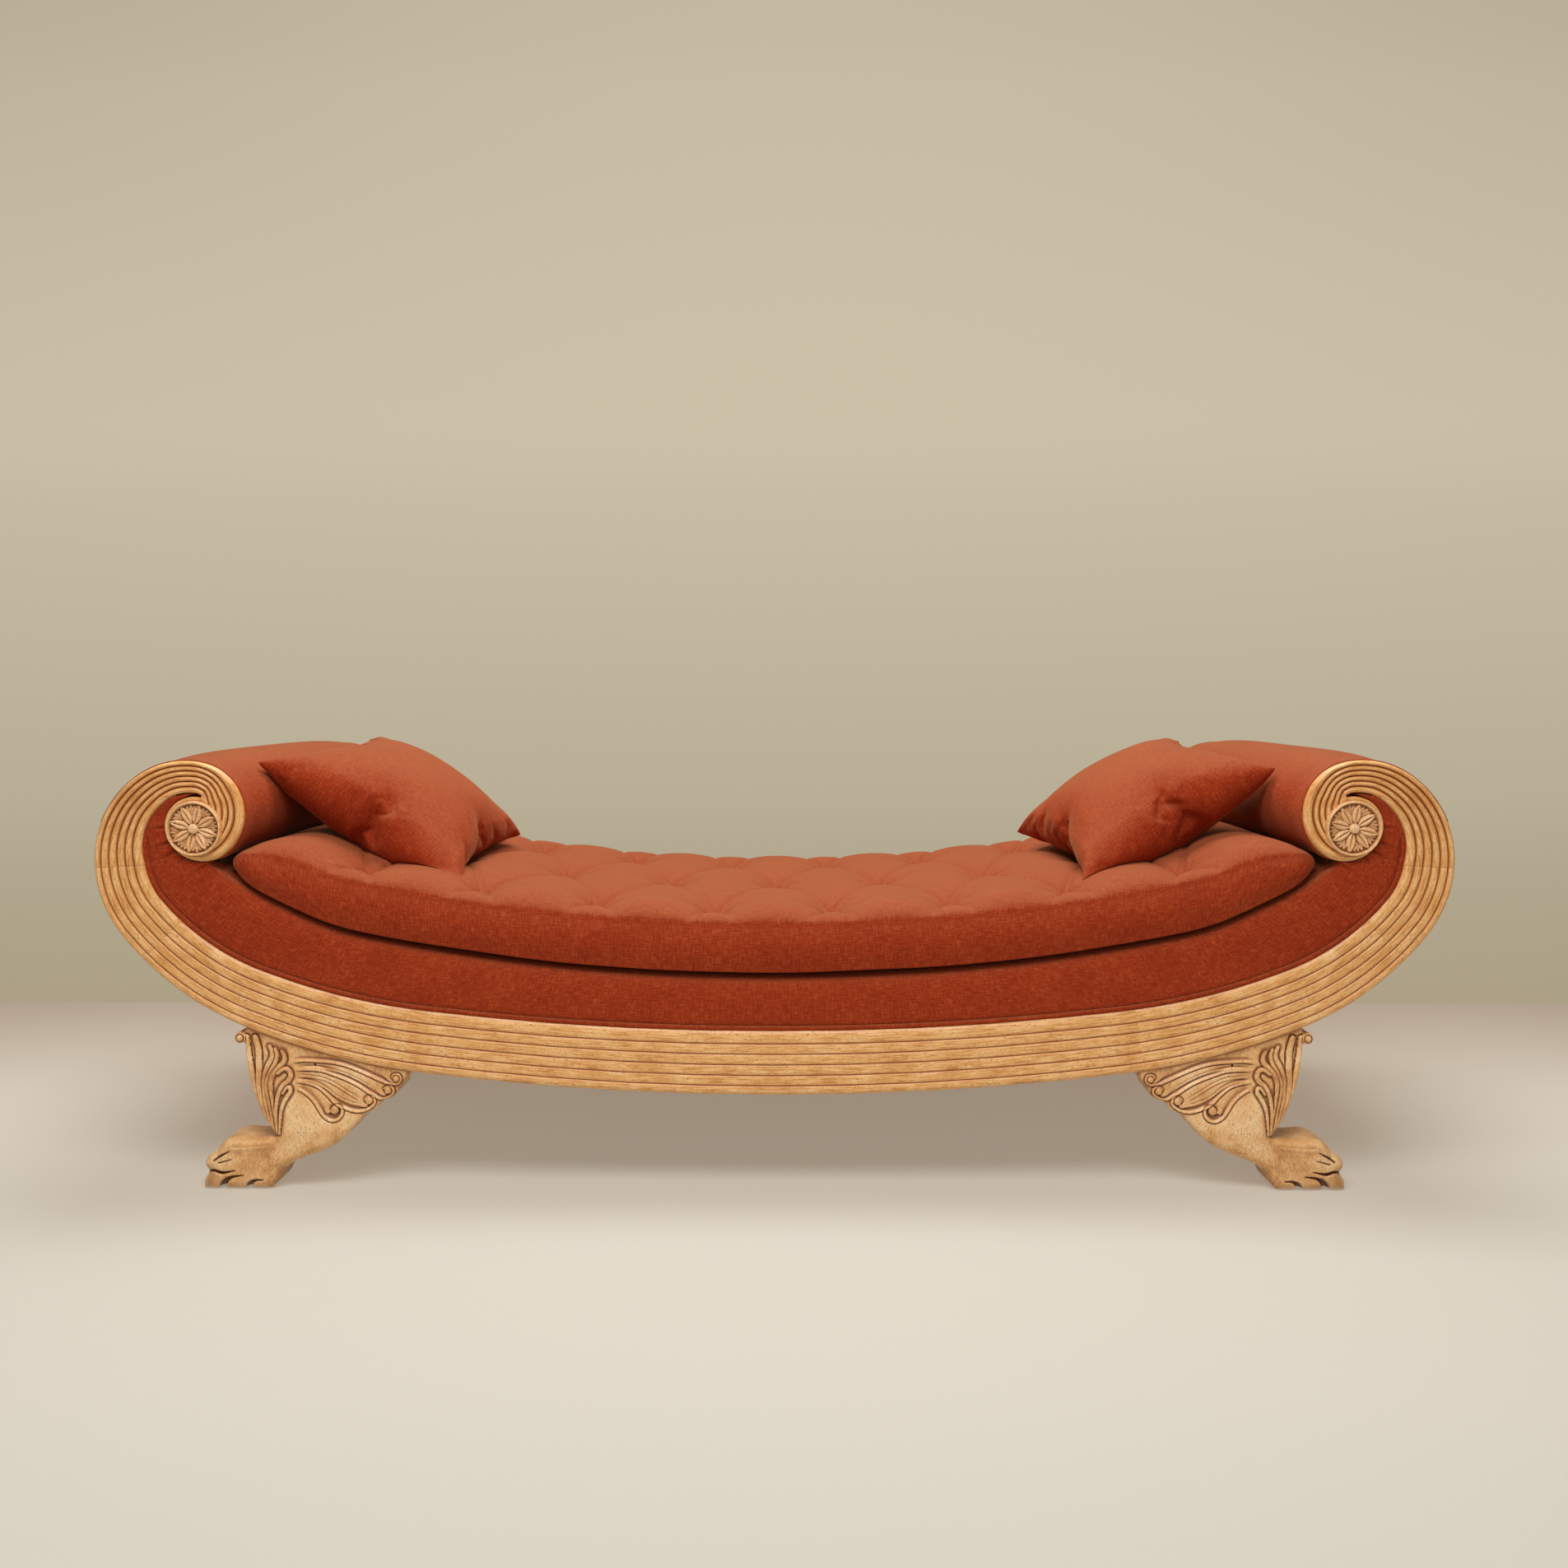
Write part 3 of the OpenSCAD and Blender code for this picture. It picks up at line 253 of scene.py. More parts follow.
def carved_wood(name, light, middle, dark, amber, patina, grain_along, figure=0.72, polish=0.16):
    """Waxed light hardwood, carved and rubbed back: the grain shows as fine streaks and
    flecks, dark wax stays in the grooves and the pores, and the high places are pale."""
    made, tree, shader = new_material(name)
    grain = add(tree, "ShaderNodeAttribute", attribute_name="grain").outputs["Vector"]
    streaks = add(tree, "ShaderNodeMapping", {"Vector": grain, "Scale": grain_along})
    streak = add(tree, "ShaderNodeTexNoise", {"Vector": streaks.outputs[0], "Scale": 420.0,
                                             "Detail": 5.0, "Roughness": 0.7})
    mottle = add(tree, "ShaderNodeTexNoise", {"Vector": grain, "Scale": 22.0, "Detail": 4.0,
                                             "Roughness": 0.6})
    fleck = add(tree, "ShaderNodeTexNoise", {"Vector": streaks.outputs[0], "Scale": 900.0,
                                            "Detail": 2.0})
    mixed = add(tree, "ShaderNodeMath", {0: streak.outputs[0], 1: figure}, operation="MULTIPLY")
    mixed = add(tree, "ShaderNodeMath", {0: mottle.outputs[0], 1: 1 - figure, 2: mixed.outputs[0]},
                operation="MULTIPLY_ADD")
    wood = add(tree, "ShaderNodeValToRGB", {0: mixed.outputs[0]},
               ramp=[(0.38, dark), (0.49, middle), (0.6, light)])
    # Pores and worm-like dashes, about 1 mm wide and 4 mm long, in patches
    flecks = add(tree, "ShaderNodeMapping",
                 {"Vector": grain, "Scale": [0.25 + 0.75 * k for k in grain_along]})
    pores = add(tree, "ShaderNodeTexVoronoi", {"Vector": flecks.outputs[0], "Scale": 210.0,
                                              "Randomness": 1.0})
    pore = add(tree, "ShaderNodeMapRange", {0: pores.outputs["Distance"], 1: 0.1, 2: 0.24,
                                           3: 0.7, 4: 0.0})
    few = add(tree, "ShaderNodeMapRange", {0: mottle.outputs[0], 1: 0.45, 2: 0.6, 3: 0.0, 4: 1.0})
    pore = add(tree, "ShaderNodeMath", {0: pore.outputs[0], 1: few.outputs[0]}, operation="MULTIPLY")
    fine = add(tree, "ShaderNodeTexVoronoi", {"Vector": flecks.outputs[0], "Scale": 480.0})
    fine = add(tree, "ShaderNodeMapRange", {0: fine.outputs["Distance"], 1: 0.12, 2: 0.34, 3: 0.5, 4: 0.0})
    pore = add(tree, "ShaderNodeMath", {0: pore.outputs[0], 1: fine.outputs[0]}, operation="MAXIMUM")
    # Dark wax in what the carver cut away, broken up by the wood's own unevenness
    cavity = add(tree, "ShaderNodeAttribute", attribute_name="groove").outputs["Fac"]
    broken = add(tree, "ShaderNodeMath", {0: streak.outputs[0], 1: 0.9, 2: -0.45},
                 operation="MULTIPLY_ADD")
    wax = add(tree, "ShaderNodeMath", {0: cavity, 1: broken.outputs[0]}, operation="ADD")
    warm = add(tree, "ShaderNodeMapRange", {0: wax.outputs[0], 1: 0.08, 2: 0.55, 3: 0.0, 4: 0.85})
    wax = add(tree, "ShaderNodeMapRange", {0: wax.outputs[0], 1: 0.5, 2: 1.0, 3: 0.0, 4: 1.0})
    wax = add(tree, "ShaderNodeMath", {0: wax.outputs[0], 1: pore.outputs[0]}, operation="MAXIMUM")
    toned = add(tree, "ShaderNodeMix", {0: warm.outputs[0], 6: wood.outputs[0], 7: linear(amber)},
                data_type="RGBA")
    colour = add(tree, "ShaderNodeMix", {0: wax.outputs[0], 6: toned.outputs[2], 7: linear(patina)},
                 data_type="RGBA")
    tree.links.new(colour.outputs[2], shader.inputs["Base Color"])
    rough = add(tree, "ShaderNodeMapRange", {0: fleck.outputs[0], 1: 0.3, 2: 0.7, 3: 0.38, 4: 0.54})
    tree.links.new(rough.outputs[0], shader.inputs["Roughness"])
    lift = add(tree, "ShaderNodeMath", {0: fleck.outputs[0], 1: 0.5, 2: streak.outputs[0]},
               operation="MULTIPLY_ADD")
    bump = add(tree, "ShaderNodeBump", {"Height": lift.outputs[0], "Strength": 0.35,
                                       "Distance": 0.5 * MM})
    tree.links.new(bump.outputs[0], shader.inputs["Normal"])
    shader.inputs["IOR"].default_value = 1.5
    shader.inputs["Coat Weight"].default_value = polish
    shader.inputs["Coat Roughness"].default_value = 0.3
    return made


rail_wood = carved_wood("waxed_carved_rail_wood", "#FBCA8C", "#EAA75D", "#C27C37", "#B8682A",
                        "#743711", (0.06, 1.0, 1.0))


# Degrees between sections, the bevel's share of the first step, and how far the grain moves on
# from one length to the next, in metres for each degree
RAIL_STEP, BEVEL_STEP, GRAIN_SHIFT = 1.6, 0.02, 0.37


def rail_piece(name, low, high, mirror_x, mirror_y):
    """One glued length of a rail between two headings, on either side and either face."""
    steps = max(4, round((high - low) / RAIL_STEP))
    headings = [low + (high - low) * i / steps for i in range(steps + 1)]
    headings = [low] + [low + BEVEL_STEP * (headings[1] - low)] + headings[1:-1]
    headings += [high - BEVEL_STEP * (high - headings[-1]), high]
    bm = bmesh.new()
    grain = bm.verts.layers.float_vector.new("grain")
    groove = bm.verts.layers.float.new("groove")

    def place(i, j):
        """Where a point of the section lies, its depth, its Y and how deep in a groove it is."""
        h = headings[i]
        depth, y, deep = rail_section(h, j % SECTION_STEPS)
        if i in (0, len(headings) - 1) and 0 < h < VOLUTE_END:
            depth += JOINT_BEVEL * (1 - 2 * depth / rail_width(h))
            y += JOINT_BEVEL * (1 if y < (FRONT_Y + RAIL_BACK_Y) / 2 else -1)
        p = edge_point(h, depth)
        return Vector((p.x, y, p.y)), depth, y, deep

    lengths = [0.0]
    for a, b in zip(headings, headings[1:]):
        lengths.append(lengths[-1] + (edge_point(b) - edge_point(a)).length)
    offset = GRAIN_SHIFT * low
    for v, i, j in grid_points(bm, len(headings) - 1, SECTION_STEPS):
        v.co, depth, y, deep = place(i, j)
        v[grain] = (lengths[i] + offset, depth, y)
        v[groove] = deep
    close_ends(bm, 2 * SEAM)
    if low == 0:                                 # the middle length spans both sides
        bmesh.ops.delete(bm, geom=[f for f in bm.faces if len(f.verts) > 4
                                   and abs(f.calc_center_median().x) < MM], context="FACES")
        bmesh.ops.mirror(bm, geom=bm.verts[:] + bm.edges[:] + bm.faces[:], axis="X",
                         merge_dist=MIRROR_SEAM)
    flip(bm, mirror_x, mirror_y)
    bmesh.ops.recalc_face_normals(bm, faces=bm.faces)
    return make_piece(bm, name, rail_wood, "frame", [name.replace("reeded_", "")])


for face, mirror_y in (("front", False), ("rear", True)):
    rail_piece(f"reeded_{face}_rail", *RAIL_JOINTS[:2], False, mirror_y)
    for side, mirror_x in (("left", True), ("right", False)):
        rail_piece(f"reeded_{face}_sweep_{side}", *RAIL_JOINTS[1:3], mirror_x, mirror_y)
        rail_piece(f"reeded_{face}_shoulder_{side}", *RAIL_JOINTS[2:4], mirror_x, mirror_y)
        rail_piece(f"reeded_{face}_volute_{side}", RAIL_JOINTS[3], VOLUTE_END, mirror_x, mirror_y)

# Rosettes
# Turned discs of the same wood, carved with eight pointed petals round a domed button and
# small leaves between them, and glued into the middle of each volute.
ROSETTE_SEAT_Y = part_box("front_rosette_right")[1].y
ROSETTE_GROUND_Y = FRONT_Y + 1 * MM
RIM_SHARE, BUTTON_SHARE = 0.89, 0.18
PETAL_REACH, PETAL_HALF_WIDTH = (0.17, 0.87), 0.172
SMALL_REACH, SMALL_HALF_WIDTH, SMALL_TURN = (0.5, 0.88), 0.07, 0.17
PETALS = 8
RING_STEPS, SPOKE_STEPS = 352, 60


def bump_over(t):
    """A rounded ridge: 1 in the middle and 0 from t = 1 outwards."""
    return math.sqrt(max(0.0, 1 - t * t))


def petal_height(r, angle, reach, half_width):
    """Height share of one petal that points along angle 0."""
    share = (r * math.cos(angle) - reach[0]) / (reach[1] - reach[0])
    if not 0 < share < 1:
        return 0.0
    width = half_width * math.sin(math.pi * share ** 0.85) ** 0.8
    t = abs(r * math.sin(angle)) / max(width, 1e-4)
    if t >= 1:
        return 0.0
    vein = 0.34 * math.exp(-(t / 0.16) ** 2)
    return (0.55 + 0.45 * share) * (bump_over((t - 0.42) / 0.6) - vein)


def rosette_height(r, angle, first_petal):
    """Height above the ground, in shares of the petals' relief."""
    if r > RIM_SHARE:
        return bump_over((r - (1 + RIM_SHARE) / 2) / ((1 - RIM_SHARE) / 2)) ** 0.6
    if r < BUTTON_SHARE:
        return 0.75 + 0.6 * bump_over(r / BUTTON_SHARE)
    height = 0.0
    for k in range(PETALS):
        uneven = 0.05 * math.sin(5.1 * k + first_petal)
        turned = angle - math.radians(first_petal + 360 * k / PETALS) + uneven
        turned = (turned + math.pi) % (2 * math.pi) - math.pi
        if abs(turned) < 1:
            height = max(height, petal_height(r, turned, PETAL_REACH, PETAL_HALF_WIDTH))
        for side in (-SMALL_TURN, 0.0, SMALL_TURN):
            between = (turned - math.pi / PETALS - side + math.pi) % (2 * math.pi) - math.pi
            if abs(between) < 0.5:
                reach = (SMALL_REACH[0] + 0.6 * abs(side), SMALL_REACH[1] - 0.25 * abs(side))
                height = max(height, 0.7 * petal_height(r, between, reach, SMALL_HALF_WIDTH))
    return height


rosette_wood = carved_wood("waxed_carved_rosette_wood", "#FFDDAC", "#F1B87C", "#CC8D52", "#B26B34",
                           "#6C3417", (1.0, 1.0, 1.0))
PETAL_RELIEF = 8.5 * MM


def rosette(name, first_petal, mirror_x, mirror_y):
    """One rosette, with its first petal turned to an angle in degrees."""
    bm = bmesh.new()
    grain = bm.verts.layers.float_vector.new("grain")
    groove = bm.verts.layers.float.new("groove")
    rows = SPOKE_STEPS + 4

    def place(i, j):
        """Where a point of the disc lies, and how deep in the carving's ground it is."""
        angle = 2 * math.pi * i / RING_STEPS
        r = min(j / SPOKE_STEPS, 1.0)
        height = rosette_height(r, angle, first_petal) if j < SPOKE_STEPS else 0.0
        y = ROSETTE_GROUND_Y - PETAL_RELIEF * height
        if j > SPOKE_STEPS:
            y += (ROSETTE_SEAT_Y - y) * (j - SPOKE_STEPS) / (rows - SPOKE_STEPS)
        reach = r * ROSETTE_R
        at = Vector((EYE.x + reach * math.cos(angle), y, EYE.y + reach * math.sin(angle)))
        ground = 0.62 * max(0.0, 1 - height / 0.8) ** 1.1 * (0.3 if r > RIM_SHARE else 1.0)
        return at, ground if j <= SPOKE_STEPS else 0.3

    for v, i, j in grid_points(bm, RING_STEPS, rows):
        v.co, v[groove] = place(i, j)
        v[grain] = v.co
    close_ends(bm, SEAM)
    flip(bm, mirror_x, mirror_y)
    bmesh.ops.recalc_face_normals(bm, faces=bm.faces)
    return make_piece(bm, name, rosette_wood, "frame", [name.replace("carved_", "")])


for side, mirror_x, first_petal in (("left", True, 150), ("right", False, -12)):
    rosette(f"carved_front_rosette_{side}", first_petal, mirror_x, False)
    rosette(f"carved_rear_rosette_{side}", first_petal, mirror_x, True)

# Paw legs
# Each leg is one thick board of the same wood, bolted up under the rails from behind. It is
# sawn to a lion's hind leg, rounded over, and carved on its face with a fan of leaves above
# the ankle, a wing of four curled ribbons, and a paw with gouged toes.
LEG_TOE_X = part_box("front_leg_right")[1].x
LEG_FACE_Y, LEG_BACK_Y = FRONT_Y + 5 * MM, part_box("front_leg_right")[1].y
LEG_VOXEL = 2.0 * MM
LEG_GAP = 0.4 * MM
# Outline in mm, inwards from the toes and up from the floor: the sole, heel and calf up to
# the rail, then the curl and the shin down to the paw
LEG_SOLE = [(0, 1), (116, 1), (126, 11), (131, 20), (135, 30), (143, 37), (156, 46), (176, 54),
            (201, 64), (226, 76), (248, 94), (263, 110), (273, 123), (277, 130), (286, 133),
            (296, 138), (303, 146), (309, 153), (320, 156), (330, 163), (335, 171), (336, 178),
            (341, 181), (347, 188), (351, 196)]
LEG_FRONT = [(80, 252), (81, 226), (86, 193), (96, 158), (109, 123), (125, 94), (116, 90),
             (96, 87), (76, 88), (62, 89), (49, 87), (34, 79), (27, 66), (24, 62), (14, 59),
             (5, 49), (4, 39), (9, 29), (1, 16)]
TOP_CURL = (72, 260, 9.6)
# Ridges of the fan as points and half widths in mm. Each overlaps the hollow on its right.
FAN_RIDGES = [
    [(84, 262, 3.4), (87, 226, 4), (92, 193, 4.2), (103, 155, 4), (117, 120, 3), (128, 96, 1.6)],
    [(98, 262, 3.6), (103, 240, 4), (103, 213, 4), (103, 183, 3.8), (109, 150, 3.2), (120, 118, 2.4),
     (129, 96, 1.4)],
    [(122, 246, 2.2), (126, 236, 3), (125, 226, 3.4), (118, 213, 3.2), (112, 196, 3), (111, 178, 2.8),
     (114, 148, 2.4), (122, 118, 1.8), (130, 96, 1.2)],
    [(131, 242, 1.8), (134, 232, 2.4), (131, 219, 2.6), (122, 203, 2.6), (116, 186, 2.4), (116, 168, 2.2),
     (121, 138, 1.8), (126, 112, 1.4), (130, 96, 1)],
    [(142, 238, 2), (146, 230, 2.8), (145, 220, 3.2), (136, 210, 3.2), (127, 199, 3), (122, 183, 2.8),
     (123, 163, 2.4), (127, 133, 1.8), (131, 96, 1.2)],
    [(134, 200, 2), (145, 208, 2.6), (153, 205, 3), (156, 196, 3.2), (151, 187, 3.2), (142, 179, 3),
     (135, 166, 2.8), (131, 148, 2.4), (130, 125, 1.8), (132, 96, 1.2)],
    [(142, 166, 1.6), (149, 176, 2.2), (154, 176, 2.6), (155, 169, 2.8), (149, 160, 2.8), (142, 147, 2.6),
     (138, 130, 2.2), (135, 96, 1.4)]]
# Lower edges of the wing's ribbons, each running into its curl, seen from the shin outwards
WING_EDGES = [
    [(158, 216), (176, 219), (203, 218), (226, 216), (248, 211), (273, 201), (298, 189), (314, 182),
     (326, 179), (337, 181), (343, 189), (340, 199), (330, 201), (324, 195), (327, 190)],
    [(160, 204), (188, 204), (208, 202), (226, 196), (251, 186), (271, 175), (288, 163), (303, 155),
     (315, 155), (326, 161), (331, 170), (327, 179), (318, 180), (311, 175), (313, 169)],
    [(161, 185), (183, 181), (201, 174), (216, 161), (228, 148), (246, 138), (263, 133), (278, 134),
     (291, 140), (299, 150), (296, 160), (286, 163), (278, 157), (281, 150)],
    [(163, 172), (176, 166), (191, 153), (201, 138), (209, 126), (221, 118), (234, 119), (243, 128),
     (244, 140), (236, 148), (226, 146), (222, 139)]]
WING_CURLS = [(333, 191, 5.5), (319, 171, 6), (287, 154, 6.5), (229, 138, 7)]
WING_VEINS = [
    [(166, 196), (201, 193), (226, 184), (251, 168), (276, 153)],
    [(168, 189), (193, 186), (213, 176), (233, 160), (258, 149), (274, 146)],
    [(168, 211), (203, 210), (238, 202), (268, 189), (296, 171)]]
# Gouge cuts of the paw as points and half widths in mm
TOE_GOUGES = [[(31, -2, 6.5), (38, 12, 5.5), (50, 21, 3), (72, 25, 1)],
              [(76, -2, 6), (83, 11, 4.5), (92, 16, 2.5), (105, 17, 1)],
              [(9, 29, 1.6), (20, 33, 2.8), (36, 29, 2.8), (58, 33, 1)],
              [(22, 50, 1.6), (34, 58, 2), (49, 66, 1)], [(30, 46, 1.4), (52, 52, 1)]]
TENDONS = [[(32, 66, 4), (51, 80, 5), (81, 80, 4), (116, 82, 3)],
           [(52, 70, 3), (81, 71, 3.4), (112, 74, 3)]]
NAIL_HOLE = (197, 215, 1.6)
# The relief's grid: where it starts, its size and its steps, and how far from a cut's line the
# wood is shaped, all in mm
RELIEF_START, RELIEF_SIZE = (-10, -5), (380, 290)
RELIEF_STEP, CUT_REACH = 0.6, 16


def smooth_line(points, steps=10):
    """Catmull-Rom curve through points that may carry a width."""
    p = np.array(points, float)
    p = np.vstack([2 * p[0] - p[1], p, 2 * p[-1] - p[-2]])
    t = np.linspace(0, 1, steps, endpoint=False)[:, None]
    out = [0.5 * (2 * p[k] + (p[k + 1] - p[k - 1]) * t
                  + (2 * p[k - 1] - 5 * p[k] + 4 * p[k + 1] - p[k + 2]) * t ** 2
                  + (3 * p[k] - p[k - 1] - 3 * p[k + 1] + p[k + 2]) * t ** 3)
           for k in range(1, len(p) - 2)]
    return np.vstack(out + [p[-2:-1]])


def to_line(at, line, reach=None):
    """For each point: distance to the line, its share along it, and which side it is on.

    Points further than reach from the line's box are left as far away."""
    best = np.full(len(at), 1e9)
    where, side = np.zeros(len(at)), np.ones(len(at))
    if reach:
        low, high = line[:, :2].min(0) - reach, line[:, :2].max(0) + reach
        close = np.flatnonzero(((at > low) & (at < high)).all(1))
        best[close], where[close], side[close] = to_line(at[close], line)
        return best, where, side
    for k in range(len(line) - 1):
        a, run = line[k, :2], line[k + 1, :2] - line[k, :2]
        t = np.clip(((at - a) @ run) / max(run @ run, 1e-9), 0, 1)
        off = at - a - t[:, None] * run
        d = np.hypot(off[:, 0], off[:, 1])
        near = d < best
        best[near], where[near] = d[near], (k + t)[near] / (len(line) - 1)
        side[near] = np.sign(run[0] * off[:, 1] - run[1] * off[:, 0])[near]
    return best, where, side


def widths_along(line, where):
    """Half width of a cut or ridge at shares of its length."""
    return np.interp(where, np.linspace(0, 1, len(line)), line[:, 2])


def gauss(d, width):
    """A soft ridge: 1 in the middle, and about a third at its width."""
    return np.exp(-(d / width) ** 2)


def leg_relief():
    """The carving's height in mm above the leg's face, on a grid of steps of RELIEF_STEP."""
    columns, rows = round(RELIEF_SIZE[0] / RELIEF_STEP), round(RELIEF_SIZE[1] / RELIEF_STEP)
    s, z = np.meshgrid(np.arange(columns) * RELIEF_STEP + RELIEF_START[0],
                       np.arange(rows) * RELIEF_STEP + RELIEF_START[1], indexing="ij")
    at = np.stack([s.ravel(), z.ravel()], 1)
    height = np.zeros(len(at))
    # Hollows between the leaves, then each ridge over them
    for ridge in FAN_RIDGES:
        line = smooth_line(ridge)
        d, where, _ = to_line(at, line, CUT_REACH)
        width = widths_along(line, where)
        height = np.where((d < 8) & (d > width * 0.9), np.minimum(height, -1.6 * (1 - where * 0.6)), height)
    for ridge in FAN_RIDGES:
        line = smooth_line(ridge)
        d, where, _ = to_line(at, line, CUT_REACH)
        width = 1.35 * widths_along(line, where)
        crown = 2.9 * np.sqrt(np.clip(1 - (d / width) ** 2, 0, 1)) - 0.4
        cut = 2.6 * gauss(d - width - 0.5, 0.8)
        height = np.where(d < width, np.maximum(height, crown), height - cut * 0.55)
    for points in WING_EDGES:
        line = smooth_line(points)
        d, where, side = to_line(at, line, CUT_REACH)
        inner = side > 0
        rim = 2.2 * gauss(d - 3.0, 2.4)
        groove = 2.6 * gauss(d + np.where(inner, 0.5, -0.7), 0.85)
        hollow = (1.2 + 2.6 * np.clip(where * 1.4, 0, 1)) * gauss(d - 8.5, 4)
        fade = np.clip(where / 0.06, 0, 1)
        height += np.where(inner, (rim - hollow) * fade, 0) - groove * fade
    for points in WING_VEINS:
        line = smooth_line(points)
        d, where, _ = to_line(at, line, CUT_REACH)
        fade = np.clip(where / 0.1, 0, 1) * np.clip((1 - where) / 0.15, 0, 1)
        height += fade * (1.0 * gauss(d, 1.7) - 0.9 * gauss(d - 3, 1.1))
    for s, z, r in WING_CURLS:
        d = np.hypot(at[:, 0] - s, at[:, 1] - z)
        knob = 3.6 * np.sqrt(np.clip(1 - (d / r) ** 2, 0, 1))
        height = np.where(d < r, knob, height) - 1.6 * gauss(d - r - 0.4, 0.9)
    for points in TOE_GOUGES:
        line = smooth_line(points)
        d, where, _ = to_line(at, line, CUT_REACH)
        width = np.maximum(widths_along(line, where), 0.8)
        height -= 2.1 * width * np.sqrt(np.clip(1 - (d / width) ** 2, 0, 1))
    for points in TENDONS:
        line = smooth_line(points)
        d, where, _ = to_line(at, line, CUT_REACH)
        height += 1.5 * gauss(d, widths_along(line, where))
    height -= 4 * gauss(np.hypot(at[:, 0] - NAIL_HOLE[0], at[:, 1] - NAIL_HOLE[1]), NAIL_HOLE[2])
    d = np.hypot(at[:, 0] - TOP_CURL[0], at[:, 1] - TOP_CURL[1])
    height = np.where(d < TOP_CURL[2] + 2, 3.2 * np.sqrt(np.clip(1 - (d / 5.5) ** 2, 0, 1))
                      + 1.4 * gauss(d - 8.6, 1.2) - 1.4 * gauss(d - 6.4, 0.9), height)
    return height.reshape(columns, rows)


def blurred(grid, reach):
    """Box blur of a height grid over reach cells each way."""
    for axis in (0, 1):
        total = sum(np.roll(grid, k, axis) for k in range(-reach, reach + 1))
        grid = total / (2 * reach + 1)
    return grid


def read_grid(grid, flat):
    """Values of a relief grid at points in mm on the leg's face."""
    u = np.clip((flat[:, 0] - RELIEF_START[0]) / RELIEF_STEP, 0, grid.shape[0] - 1.001)
    w = np.clip((flat[:, 1] - RELIEF_START[1]) / RELIEF_STEP, 0, grid.shape[1] - 1.001)
    i, j = u.astype(int), w.astype(int)
    a, b = u - i, w - j
    return ((grid[i, j] * (1 - a) + grid[i + 1, j] * a) * (1 - b)
            + (grid[i, j + 1] * (1 - a) + grid[i + 1, j + 1] * a) * b)


def applied(piece, **modifier):
    """The piece's mesh with one modifier applied."""
    made = piece.modifiers.new("step", modifier.pop("type"))
    for key, value in modifier.items():
        setattr(made, key, value)
    graph = bpy.context.evaluated_depsgraph_get()
    mesh = bpy.data.meshes.new_from_object(piece.evaluated_get(graph))
    piece.modifiers.clear()
    return mesh


def points_of(mesh):
    """The places of a mesh's points, a row for each."""
    at = np.zeros(len(mesh.vertices) * 3)
    mesh.vertices.foreach_get("co", at)
    return at.reshape(-1, 3)


def set_values(mesh, name, kind, values):
    """Stores a value for each point of a mesh, for its material to read."""
    found = mesh.attributes.get(name) or mesh.attributes.new(name, kind, "POINT")
    found.data.foreach_set("vector" if kind == "FLOAT_VECTOR" else "value",
                           np.asarray(values, np.float32).ravel())


def extruded(bm, outline, y_low, y_high):
    """Closed prism over an outline of X and Z points, between two Y planes."""
    ring = [bm.verts.new((x, y_low, z)) for x, z in outline]
    edges = [bm.edges.new((a, b)) for a, b in zip(ring, ring[1:] + ring[:1])]
    face = bmesh.ops.contextual_create(bm, geom=edges)["faces"]
    grown = bmesh.ops.extrude_face_region(bm, geom=face)["geom"]
    bmesh.ops.translate(bm, verts=[g for g in grown if isinstance(g, bmesh.types.BMVert)],
                        vec=(0, y_high - y_low, 0))


def rail_above(s):
    """Height in mm of the rail's lower edge over a place s mm in from the toes."""
    x, low, high = LEG_TOE_X - s * MM, 0.0, 90.0
    for _ in range(24):
        middle = (low + high) / 2
        low, high = (middle, high) if edge_point(middle).x < x else (low, middle)
    return edge_point(low, -LEG_GAP).y / MM


HAUNCH_WIDTH, HAUNCH_LOW, HAUNCH_HIGH = 190 * MM, 173 * MM, 270 * MM
RAIL_GAP = 0.6 * MM


